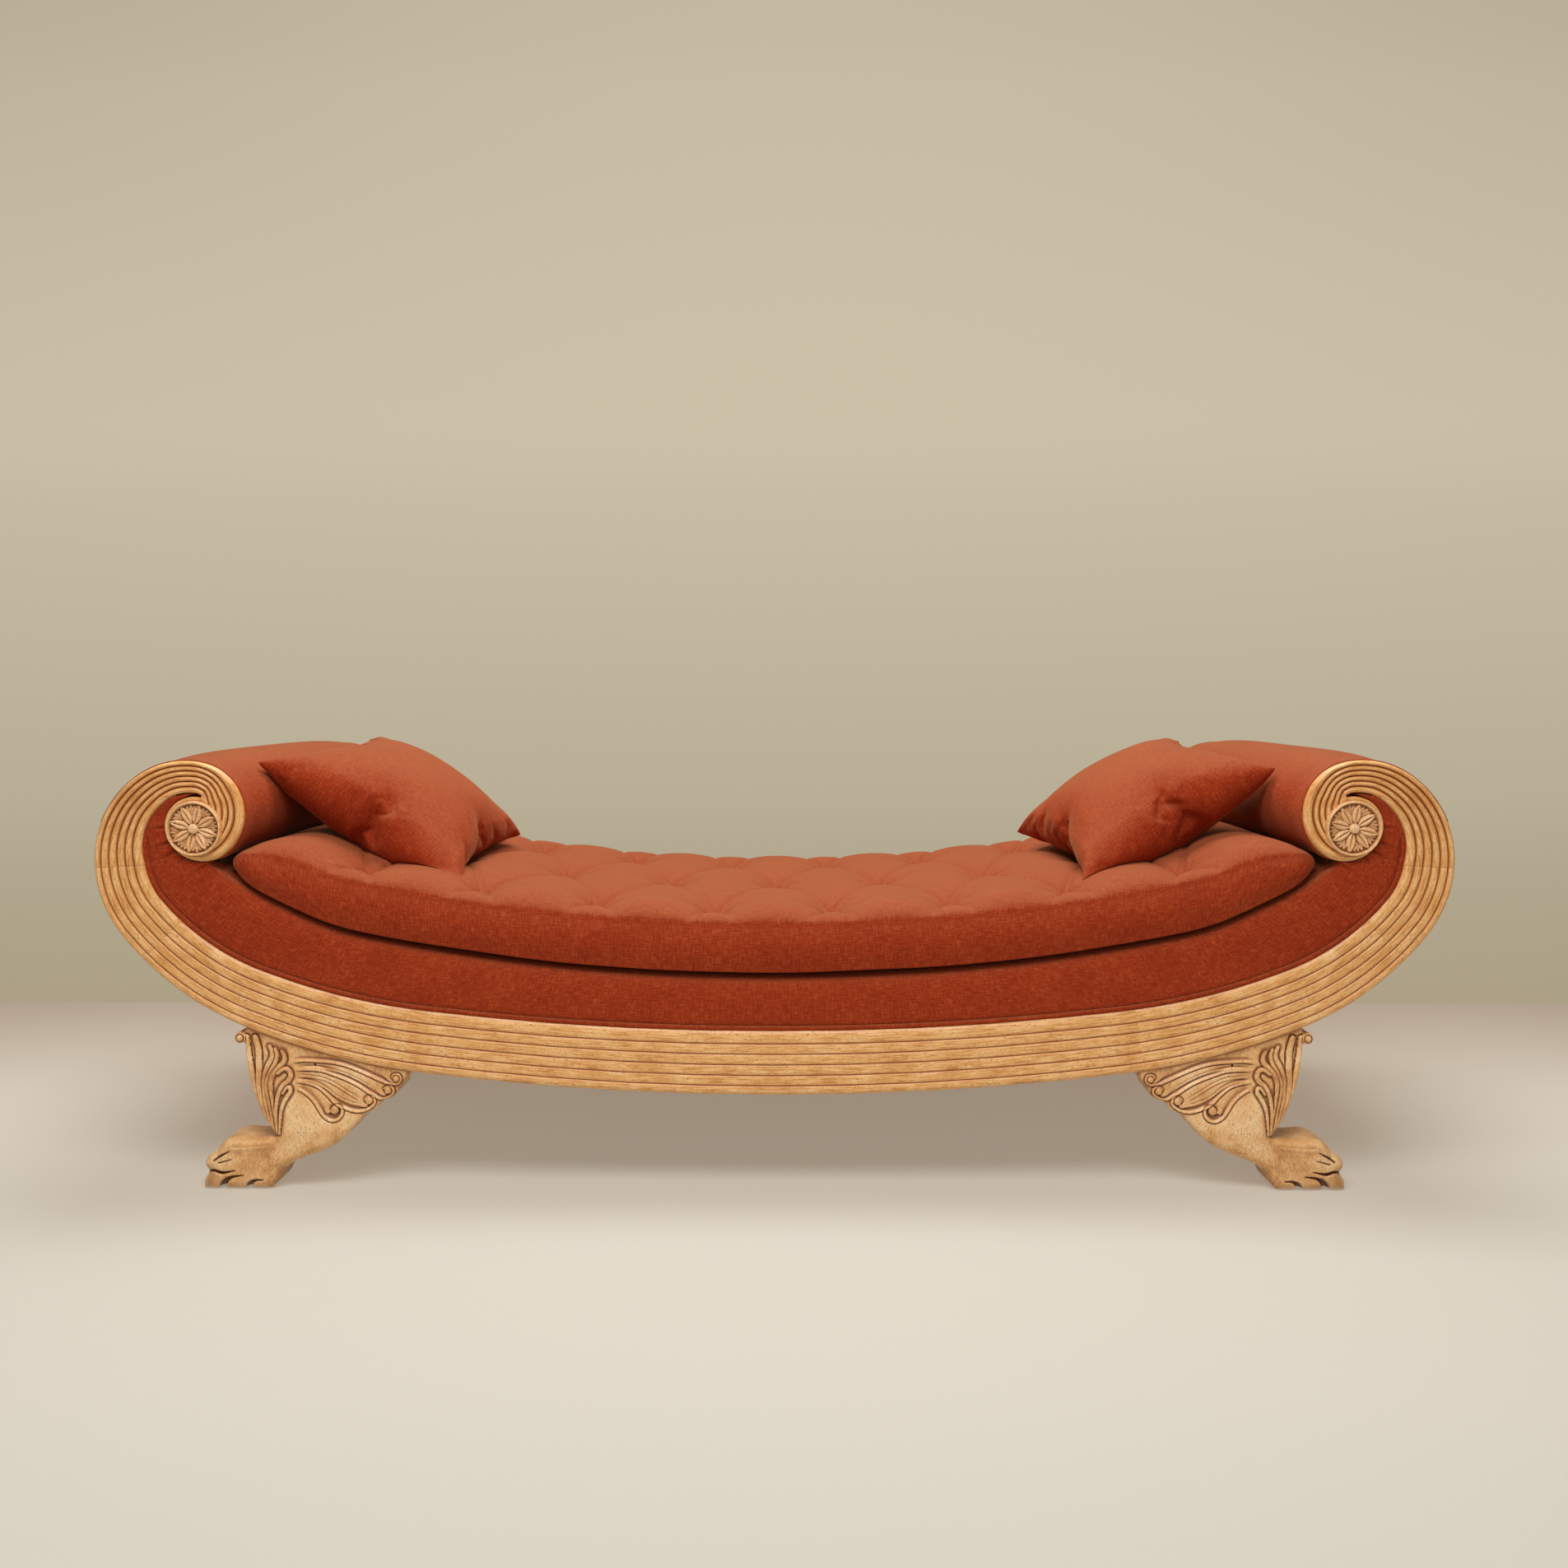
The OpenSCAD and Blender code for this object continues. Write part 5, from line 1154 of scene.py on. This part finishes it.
# Mattress
# A soft boxed cushion in the same linen follows the deck's curve. Its top is drawn down by
# blind tufts in staggered rows, without buttons, and its ends narrow to soft noses.
MATTRESS_LOW, MATTRESS_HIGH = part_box("mattress")
MATTRESS_HALF = MATTRESS_HIGH.x
MATTRESS_Y = (MATTRESS_LOW.y + MATTRESS_HIGH.y) / 2
MATTRESS_HALF_Y = (MATTRESS_HIGH.y - MATTRESS_LOW.y) / 2 + 2 * MM
NOSE, NOSE_POWER, NOSE_T, NOSE_CORNER = 52 * MM, 1.8, 22 * MM, 24 * MM
TOP_NOSE, TOP_NOSE_POWER = 140 * MM, 1.7
EDGE_T, CROWN_T, TUFT_DEPTH, PUFF_DIP = 86 * MM, 119 * MM, 40 * MM, 11 * MM
TOP_ROUND, FOOT_ROUND, FOOT_LIFT, FOOT_SLOPE = 58 * MM, 5 * MM, 6.5 * MM, 45 * MM
TUFT_PITCH, TUFT_ROW_PITCH, TUFT_MIDDLE_Y = 200 * MM, 270 * MM, -30 * MM
# Rows of tufts as place, shift along the row in pitches, and how many each way
TUFT_ROWS, TUFT_LIMIT = [(-1, 0.5, 4), (0, 0, 4), (1, 0.5, 4)], 0.84
TUFT_SPREAD, FOLD_DEPTH = 0.24, 7 * MM


def tuft_places():
    """X and Y of each tuft, in metres."""
    places = []
    for row, shift, count in TUFT_ROWS:
        for k in range(-count, count + 1):
            x = (k + shift) * TUFT_PITCH
            if abs(x) < TUFT_LIMIT:
                places.append((x, TUFT_MIDDLE_Y + row * TUFT_ROW_PITCH))
    return places


TUFTS = tuft_places()


def fullness(x, nose=NOSE, power=NOSE_POWER):
    """1 along the mattress, falling to 0 at the tips of its noses."""
    reach = np.clip((np.abs(x) - (MATTRESS_HALF - nose)) / nose, 0, 1)
    return np.clip(1 - reach ** power, 0, 1) ** (1 / power)


def tufted_dip(x, y):
    """How far the top is drawn down at places in metres, by tufts and the folds between them."""
    p = x / TUFT_PITCH + (y - TUFT_MIDDLE_Y) / (2 * TUFT_ROW_PITCH)
    q = x / TUFT_PITCH - (y - TUFT_MIDDLE_Y) / (2 * TUFT_ROW_PITCH)
    puff = np.abs(np.sin(math.pi * p) * np.sin(math.pi * q)) ** 0.6
    dip = PUFF_DIP * (1 - puff)
    lean = math.atan2(TUFT_ROW_PITCH, TUFT_PITCH / 2)
    for k, (tx, ty) in enumerate(TUFTS):
        dx, dy = x - tx, y - ty
        r = np.hypot(dx, 0.72 * dy)
        close = r < TUFT_SPREAD
        depth = TUFT_DEPTH * (1 + 0.1 * math.sin(4.7 * k)) * (0.8 if ty > 0.1 else 1.0)
        pull = depth * (0.62 * np.exp(-r / 0.036) + 0.38 * np.exp(-r / 0.012))
        folds = np.zeros_like(x)
        # Long creases run towards the next tufts and short ones between them, each as its
        # direction, half width, length and depth
        for turn, width, length, weight in (
                (lean, 0.006, 0.075, 1.0), (math.pi - lean, 0.006, 0.075, 1.0),
                (0.05 * math.sin(3 * k), 0.006, 0.05, 0.7),
                (0.5 + 0.3 * math.sin(5 * k), 0.005, 0.03, 0.3),
                (-0.5 + 0.3 * math.sin(7 * k), 0.005, 0.03, 0.2)):
            off = np.abs(dx * math.sin(turn) - dy * math.cos(turn))
            folds += weight * np.exp(-(off / width) ** 2) * np.exp(-(r / length) ** 2)
        dip += np.where(close, pull + FOLD_DEPTH * folds * np.clip(r / 0.008, 0, 1), 0)
    return dip


def mattress_top(x, y):
    """Z of the mattress's upper surface."""
    f, full = fullness(x), fullness(x, TOP_NOSE, TOP_NOSE_POWER)
    half = MATTRESS_HALF_Y - NOSE_CORNER * (1 - f)
    into = np.clip((np.abs(y - MATTRESS_Y) - (half - TOP_ROUND)) / TOP_ROUND, 0, 1)
    rise = np.sqrt(np.clip(1 - into ** 2, 0, 1))
    thick = EDGE_T + (CROWN_T - EDGE_T) * rise
    thick -= tufted_dip(x, y) * np.clip(rise * 1.15 - 0.1, 0, 1)
    ripple = 0.9 * MM * np.sin(x * 31 + 4 * y) * np.sin(y * 27 + 2) * rise
    return deck_height(x) + SEAT_GAP + NOSE_T + (thick + ripple - NOSE_T) * full


MATTRESS_COLUMNS, TOP_ROWS = 484, 128


def mattress_section(x):
    """Y and Z round the mattress at a distance along it, as two arrays."""
    f = float(fullness(np.array(x)))
    half = MATTRESS_HALF_Y - NOSE_CORNER * (1 - f)
    ground = float(deck_height(x)) + SEAT_GAP
    slack = 1.6 * MM * (math.sin(x * 9.3) * math.sin(x * 5.1 + 1)) ** 2
    base = ground + NOSE_T * (1 - f) + slack * f
    seam = ground + NOSE_T + (EDGE_T - NOSE_T) * float(fullness(np.array(x), TOP_NOSE, TOP_NOSE_POWER))
    turn = np.linspace(0, math.pi / 2, 5)
    lift = FOOT_LIFT * f
    foot = [(half - FOOT_ROUND * (1 - math.sin(a)), base + lift + FOOT_ROUND * f * (1 - math.cos(a)))
            for a in turn]
    share = np.linspace(0, 1, 13)[1:]
    belly = 9 * MM * np.sin(math.pi * share) * f
    wall = [(half + b, foot[-1][1] + (seam - foot[-1][1]) * s) for s, b in zip(share, belly)]
    over = np.linspace(0, math.pi / 2, 12)[1:]
    brow = [half - TOP_ROUND * (1 - math.cos(a)) for a in over]
    flat = list(np.linspace(-(half - TOP_ROUND), half - TOP_ROUND, TOP_ROWS)[1:-1])
    low = (half - FOOT_ROUND) * np.cos(np.linspace(0, math.pi, 22))[1:-1]
    under = base + lift * np.clip(1 - (half - FOOT_ROUND - np.abs(low)) / FOOT_SLOPE, 0, 1)
    y = [-p[0] for p in foot] + [-p[0] for p in wall] + [-b for b in brow] + flat + brow[::-1]
    y += [p[0] for p in wall[::-1]] + [p[0] for p in foot[::-1]] + list(low)
    z = [p[1] for p in foot] + [p[1] for p in wall]
    upper = np.array([-b for b in brow] + flat + brow[::-1]) + MATTRESS_Y
    z += list(mattress_top(np.full(len(upper), x), upper))
    z += [p[1] for p in wall[::-1]] + [p[1] for p in foot[::-1]] + list(under)
    return np.array(y) + MATTRESS_Y, np.array(z)


def mattress():
    """The mattress as one closed skin over its sections."""
    share = np.linspace(-1, 1, MATTRESS_COLUMNS + 1)
    xs = MATTRESS_HALF * np.sign(share) * (1 - (1 - np.abs(share)) ** 1.12)
    sections = [mattress_section(float(x)) for x in xs]
    rows = len(sections[0][0])
    runs = [np.concatenate([[0], np.cumsum(np.hypot(np.diff(y), np.diff(z)))]) for y, z in sections]
    bm = bmesh.new()
    cloth = bm.verts.layers.float_vector.new("cloth")
    for v, i, j in grid_points(bm, MATTRESS_COLUMNS, rows):
        j %= rows
        v.co = (xs[i], sections[i][0][j], sections[i][1][j])
        v[cloth] = (xs[i], runs[i][j], 0)
    close_ends(bm, 2 * SEAM)
    piece = make_piece(bm, "tufted_mattress", rust_linen, "mattress", ["mattress"])


mattress()

# Pillows
# Two loose feather pillows, each two squares of the same linen sewn edge to edge and turned,
# lean between the mattress and the rolls.
# Corners in mm: front outer, front inner, rear inner, rear outer
PILLOWS = {
    "left": [(-893, -290, 719), (-539, -290, 492), (-529, 180, 541), (-840, 168, 742)],
    "right": [(876, -265, 706), (533, -285, 504), (495, 177, 547), (832, 182, 737)]}
PILLOW_CELLS = 64
PILLOW_THICK = 176 * MM
PILLOW_SIDE = 0.45
SIDE_EASE, PILLOW_UNEVEN = 0.04, 4 * MM
EASED_SHARE, EASING_ROUNDS = 0.38, 40
PILLOW_PRESSURE, PILLOW_FRAMES, PILLOW_REACH = 10.0, 40, 120 * MM
ROLL_TABLE = np.array([tuple(edge_point(h, -ROLL_BULGE * lookup(BULGE_SHARES, h)))
                       for h in np.linspace(268, 160, 80)])


def support_height(x, y):
    """The lowest Z at which a pillow may lie: on the mattress or on the roll."""
    x = np.asarray(x)
    roll = np.interp(np.abs(x), ROLL_TABLE[:, 0], ROLL_TABLE[:, 1])
    roll = np.where(np.abs(x) > ROLL_TABLE[0, 0], roll, 0)
    inside = np.minimum(np.abs(x), MATTRESS_HALF - NOSE)
    return np.maximum(roll, mattress_top(inside, y)) + 1.2 * MM


def pillow_start(name, corners, fill):
    """Two square sheets joined at their edges, slung between four corners."""
    place = [Vector(c) * MM for c in corners]
    middle = sum(place, Vector()) / 4
    growth = PILLOW_SIDE / ((place[1] - place[0]).length + (place[3] - place[0]).length) * 2
    place = [middle + (c - middle) * (growth if fill < 1 else 1.0) for c in place]
    up = (place[1] - place[0]).cross(place[3] - place[0]).normalized()
    if up.z < 0:
        up = -up
    bm = bmesh.new()
    cloth = bm.verts.layers.float_vector.new("cloth")
    for side in (1, -1):
        made = bmesh.ops.create_grid(bm, x_segments=PILLOW_CELLS, y_segments=PILLOW_CELLS, size=0.5)["verts"]
        for v in made:
            u, w = v.co.x, v.co.y
            flat = (place[0] * (0.5 - u) * (0.5 - w) + place[1] * (0.5 + u) * (0.5 - w)
                    + place[2] * (0.5 + u) * (0.5 + w) + place[3] * (0.5 - u) * (0.5 + w))
            lens = ((1 - (2 * u) ** 2) * (1 - (2 * w) ** 2)) ** 0.5
            ease = (SIDE_EASE * fill * (1 - (2 * w) ** 2) * -2 * u,
                    SIDE_EASE * fill * (1 - (2 * u) ** 2) * -2 * w)
            flat += (place[1] - place[0]) * ease[0] * 0.5 + (place[3] - place[0]) * ease[1] * 0.5
            uneven = PILLOW_UNEVEN * fill * math.sin(9 * u + 2 * len(name)) * math.sin(11 * w + 1) * lens
            v.co = flat + up * (side * lens * fill * PILLOW_THICK / 2 + uneven)
            v[cloth] = (u * PILLOW_SIDE, w * PILLOW_SIDE, 0)
    bmesh.ops.remove_doubles(bm, verts=bm.verts, dist=0.3 * MM)
    bmesh.ops.recalc_face_normals(bm, faces=bm.faces)
    piece = make_piece(bm, name, rust_linen, name.replace("feather_", ""),
                       [name.replace("feather_", "")])
    return piece


def inflate(pieces):
    """Blows the pillows up with a short cloth simulation and keeps the result."""
    starts = []
    for piece in pieces:
        starts.append(points_of(piece.data))
        cloth = piece.modifiers.new("cloth", "CLOTH")
        cloth.settings.quality = 6
        cloth.settings.mass = 0.15
        cloth.settings.tension_stiffness = cloth.settings.compression_stiffness = 18
        cloth.settings.shear_stiffness = 6
        cloth.settings.bending_stiffness = 0.5
        cloth.settings.air_damping = 10
        cloth.settings.use_pressure = True
        cloth.settings.uniform_pressure_force = PILLOW_PRESSURE
        cloth.settings.effector_weights.gravity = 0
        cloth.collision_settings.use_collision = False
        cloth.point_cache.frame_start, cloth.point_cache.frame_end = 1, PILLOW_FRAMES
    for step in range(1, PILLOW_FRAMES + 1):
        bpy.context.scene.frame_set(step)
    graph = bpy.context.evaluated_depsgraph_get()
    for piece, start in zip(pieces, starts):
        ended = points_of(piece.evaluated_get(graph).data)
        piece.modifiers.clear()
        move = ended - start
        far = np.linalg.norm(move, axis=1, keepdims=True)
        move *= np.minimum(1, PILLOW_REACH / np.maximum(far, 1e-9))
        piece.data.vertices.foreach_set("co", (start + move).ravel())
        piece.data.update()
    bpy.context.scene.frame_set(1)


def ease_middle(piece):
    """Smooths the dents that the simulation leaves away from the seams."""
    bm = bmesh.new()
    bm.from_mesh(piece.data)
    cloth = bm.verts.layers.float_vector["cloth"]
    inner = [v for v in bm.verts if max(abs(v[cloth].x), abs(v[cloth].y)) < EASED_SHARE * PILLOW_SIDE]
    for _ in range(EASING_ROUNDS):
        bmesh.ops.smooth_vert(bm, verts=inner, factor=0.5, use_axis_x=True, use_axis_y=True,
                              use_axis_z=True)
    bm.to_mesh(piece.data)
    bm.free()


def flatten(piece, corners):
    """Presses the pillow to its thickness, as feathers fill it less tightly than air does."""
    at = points_of(piece.data)
    a, b, _, d = (np.array(c, float) for c in corners)
    up = np.cross(b - a, d - a)
    up /= np.linalg.norm(up)
    height = at @ up
    middle = (height.max() + height.min()) / 2
    at += np.outer((height - middle) * (PILLOW_THICK / np.ptp(height) - 1), up)
    piece.data.vertices.foreach_set("co", at.ravel())
    piece.data.update()


def pull_corners(piece, corners):
    """Moves the pillow's corners back to their places, and the rest of it with them."""
    at, flat = points_of(piece.data), np.zeros(len(piece.data.vertices) * 3)
    piece.data.attributes["cloth"].data.foreach_get("vector", flat)
    flat = flat.reshape(-1, 3) / PILLOW_SIDE
    signs = [(-1, -1), (1, -1), (1, 1), (-1, 1)]
    moved = at.copy()
    for (su, sw), corner in zip(signs, corners):
        k = np.argmin(np.hypot(flat[:, 0] - su / 2, flat[:, 1] - sw / 2))
        weight = (0.5 + su * flat[:, 0]) * (0.5 + sw * flat[:, 1])
        moved += weight[:, None] * (np.array(corner) * MM - at[k])
    piece.data.vertices.foreach_set("co", moved.ravel())
    piece.data.update()


def settle(piece):
    """Lifts every point clear of what the pillow lies on."""
    at = points_of(piece.data)
    at[:, 2] = np.maximum(at[:, 2], support_height(at[:, 0], at[:, 1]))
    piece.data.vertices.foreach_set("co", at.ravel())
    piece.data.update()


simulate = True
pillows = [pillow_start(f"feather_pillow_{side}", corners, 0.35 if simulate else 1.0)
           for side, corners in PILLOWS.items()]
if simulate:
    inflate(pillows)
    for pillow in pillows:
        ease_middle(pillow)
for pillow, corners in zip(pillows, PILLOWS.values()):
    flatten(pillow, corners)
    pull_corners(pillow, corners)
    settle(pillow)
    smooth = pillow.modifiers.new("finish", "SUBSURF")
    smooth.levels = smooth.render_levels = 1

# Floor and backdrop
# A pale studio floor runs up to a plain wall close behind the daybed. Both are matt paint, which
# shades as the photograph's floor and wall do.
FLOOR_HALF, WALL_Y, WALL_HIGH = 7.0, 0.99, 4


def studio_paint(name, stops, low, high, axis, glow, painted_bounce_tint="#FFFFFF", one_sided=False):
    """Matt paint whose colour ramp along an axis is painted light, lighter where lamps fall most on it.
    To the camera a share of it glows unlit, a painted light that keeps the background's colour and
    lightens shadows cast on it; the floor's glow is tinted warm as if by bounced light. What falls on
    the object is still its bounced light."""
    made, tree, shader = new_material(name)
    where = add(tree, "ShaderNodeTexCoord").outputs["Object"]
    parts = add(tree, "ShaderNodeSeparateXYZ", {0: where})
    share = add(tree, "ShaderNodeMapRange", {0: parts.outputs[axis], 1: low, 2: high, 3: 0.0, 4: 1.0})
    shade = add(tree, "ShaderNodeValToRGB", {0: share.outputs[0]}, ramp=stops)
    shade.color_ramp.interpolation = "B_SPLINE"
    tree.links.new(shade.outputs[0], shader.inputs["Base Color"])
    shader.inputs["Roughness"].default_value = 0.9
    shader.inputs["Specular IOR Level"].default_value = 0.1
    rays = add(tree, "ShaderNodeLightPath")
    seen = add(tree, "ShaderNodeMath", {0: rays.outputs["Is Camera Ray"], 1: rays.outputs["Is Glossy Ray"]},
               operation="ADD")
    seen = add(tree, "ShaderNodeMath", {0: seen.outputs[0], 1: rays.outputs["Is Transmission Ray"]},
               operation="ADD", use_clamp=True)
    seen = add(tree, "ShaderNodeMath", {0: seen.outputs[0], 1: glow}, operation="MULTIPLY")
    tinted = add(tree, "ShaderNodeMix", {0: 1.0, 6: shade.outputs[0], 7: linear(painted_bounce_tint)}, data_type="RGBA",
                 blend_type="MULTIPLY")
    light = add(tree, "ShaderNodeEmission", {"Color": tinted.outputs[2], "Strength": 1.0})
    mixed = add(tree, "ShaderNodeMixShader", {0: seen.outputs[0], 1: shader.outputs[0], 2: light.outputs[0]})
    if one_sided:                                # the wall hides nothing from behind
        back = add(tree, "ShaderNodeNewGeometry").outputs["Backfacing"]
        clear = add(tree, "ShaderNodeBsdfTransparent")
        mixed = add(tree, "ShaderNodeMixShader", {0: back, 1: mixed.outputs[0], 2: clear.outputs[0]})
    output = next(n for n in tree.nodes if n.type == "OUTPUT_MATERIAL")
    tree.links.new(mixed.outputs[0], output.inputs[0])
    return made


def stage_plane(name, material, corners):
    """A flat sheet of the set, which isn't part of the daybed."""
    bm = bmesh.new()
    bmesh.ops.contextual_create(bm, geom=[bm.verts.new(c) for c in corners])
    mesh = bpy.data.meshes.new(name)
    bm.to_mesh(mesh)
    bm.free()
    mesh.materials.append(material)
    plane = bpy.data.objects.new(name, mesh)
    bpy.context.scene.collection.objects.link(plane)


# Both ramps are painted light: the floor grows darker towards the wall and a little towards the front, and
# the wall is lightest about 1.5 m up, where the lamps fall most.
FLOOR_SHADES = [(0.0, "#C9CBC3"), (0.21, "#CECFC7"), (0.6, "#DCDDD5"), (0.8, "#CAC5BB"), (1.0, "#B8AFA5")]
WALL_SHADES = [(0.0, "#AEA188"), (0.13, "#B4A990"), (0.2, "#B8AE96"), (0.5, "#C8BEA5"), (0.6, "#CDC1A9"),
               (0.89, "#BEB39C"), (1.0, "#B8AD96")]
floor_paint = studio_paint("pale_floor_paint_and_painted_light", FLOOR_SHADES, low=-1.6, high=1.0, axis=1, glow=0.48,
                           painted_bounce_tint="#FFE7D4")
wall_paint = studio_paint("wall_paint_and_painted_light", WALL_SHADES, low=0.0, high=2.7, axis=2, glow=0.92,
                          one_sided=True)
stage_plane("floor", floor_paint, [(-FLOOR_HALF, -FLOOR_HALF, 0), (FLOOR_HALF, -FLOOR_HALF, 0),
                                   (FLOOR_HALF, FLOOR_HALF, 0), (-FLOOR_HALF, FLOOR_HALF, 0)])
stage_plane("wall", wall_paint, [(-FLOOR_HALF, WALL_Y, 0), (-FLOOR_HALF, WALL_Y, WALL_HIGH),
                                 (FLOOR_HALF, WALL_Y, WALL_HIGH), (FLOOR_HALF, WALL_Y, 0)])

# Light and camera
# Two broad soft boxes overhead, one of them forward and a little to the left, with a weaker one
# in front and an even, dim fill, as in a studio.
LIT_PLACE = (0, 0, 0.4)
CAMERA_AT = (0.036, -2.618, 0.837)
YAW, PITCH, ROLL = -0.42, 3.88, -0.05
FOCAL_PIXELS, PHOTO_PIXELS, SENSOR = 1645.2, 1905, 36.0
camera = bpy.data.objects.new("camera", bpy.data.cameras.new("camera"))
camera.data.sensor_width = SENSOR
camera.data.lens = SENSOR * FOCAL_PIXELS / PHOTO_PIXELS
turn = Matrix.Rotation(math.radians(-YAW), 4, "Z") @ Matrix.Rotation(math.radians(90 - PITCH), 4, "X")
camera.matrix_world = (Matrix.Translation(CAMERA_AT) @ turn
                       @ Matrix.Rotation(math.radians(ROLL), 4, "Z"))
bpy.context.scene.collection.objects.link(camera)
bpy.context.scene.camera = camera


def soft_box(name, place, size, power):
    """A broad lamp of a width and length in metres and a power in watts, turned to the daybed."""
    lamp = bpy.data.lights.new(name, "AREA")
    lamp.shape, lamp.size, lamp.size_y, lamp.energy = "RECTANGLE", size[0], size[1], power
    made = bpy.data.objects.new(name, lamp)
    made.matrix_world = (Matrix.Translation(place)
                         @ (Vector(LIT_PLACE) - Vector(place)).to_track_quat("-Z", "Y").to_matrix().to_4x4())
    bpy.context.scene.collection.objects.link(made)


soft_box("key_box", (-0.3, -2.1, 3.3), (2.6, 1.3), 100)
soft_box("top_box", (0.1, 0.35, 3.4), (2.6, 1.1), 84)
soft_box("front_fill", (0.4, -4.0, 1.6), (2.6, 1.6), 15)
world = bpy.data.worlds.new("studio")
world.use_nodes = True
world.node_tree.nodes["Background"].inputs["Color"].default_value = linear("#F2EDE6")
world.node_tree.nodes["Background"].inputs["Strength"].default_value = 0.07
bpy.context.scene.world = world
bpy.context.scene.view_settings.view_transform = "Standard"
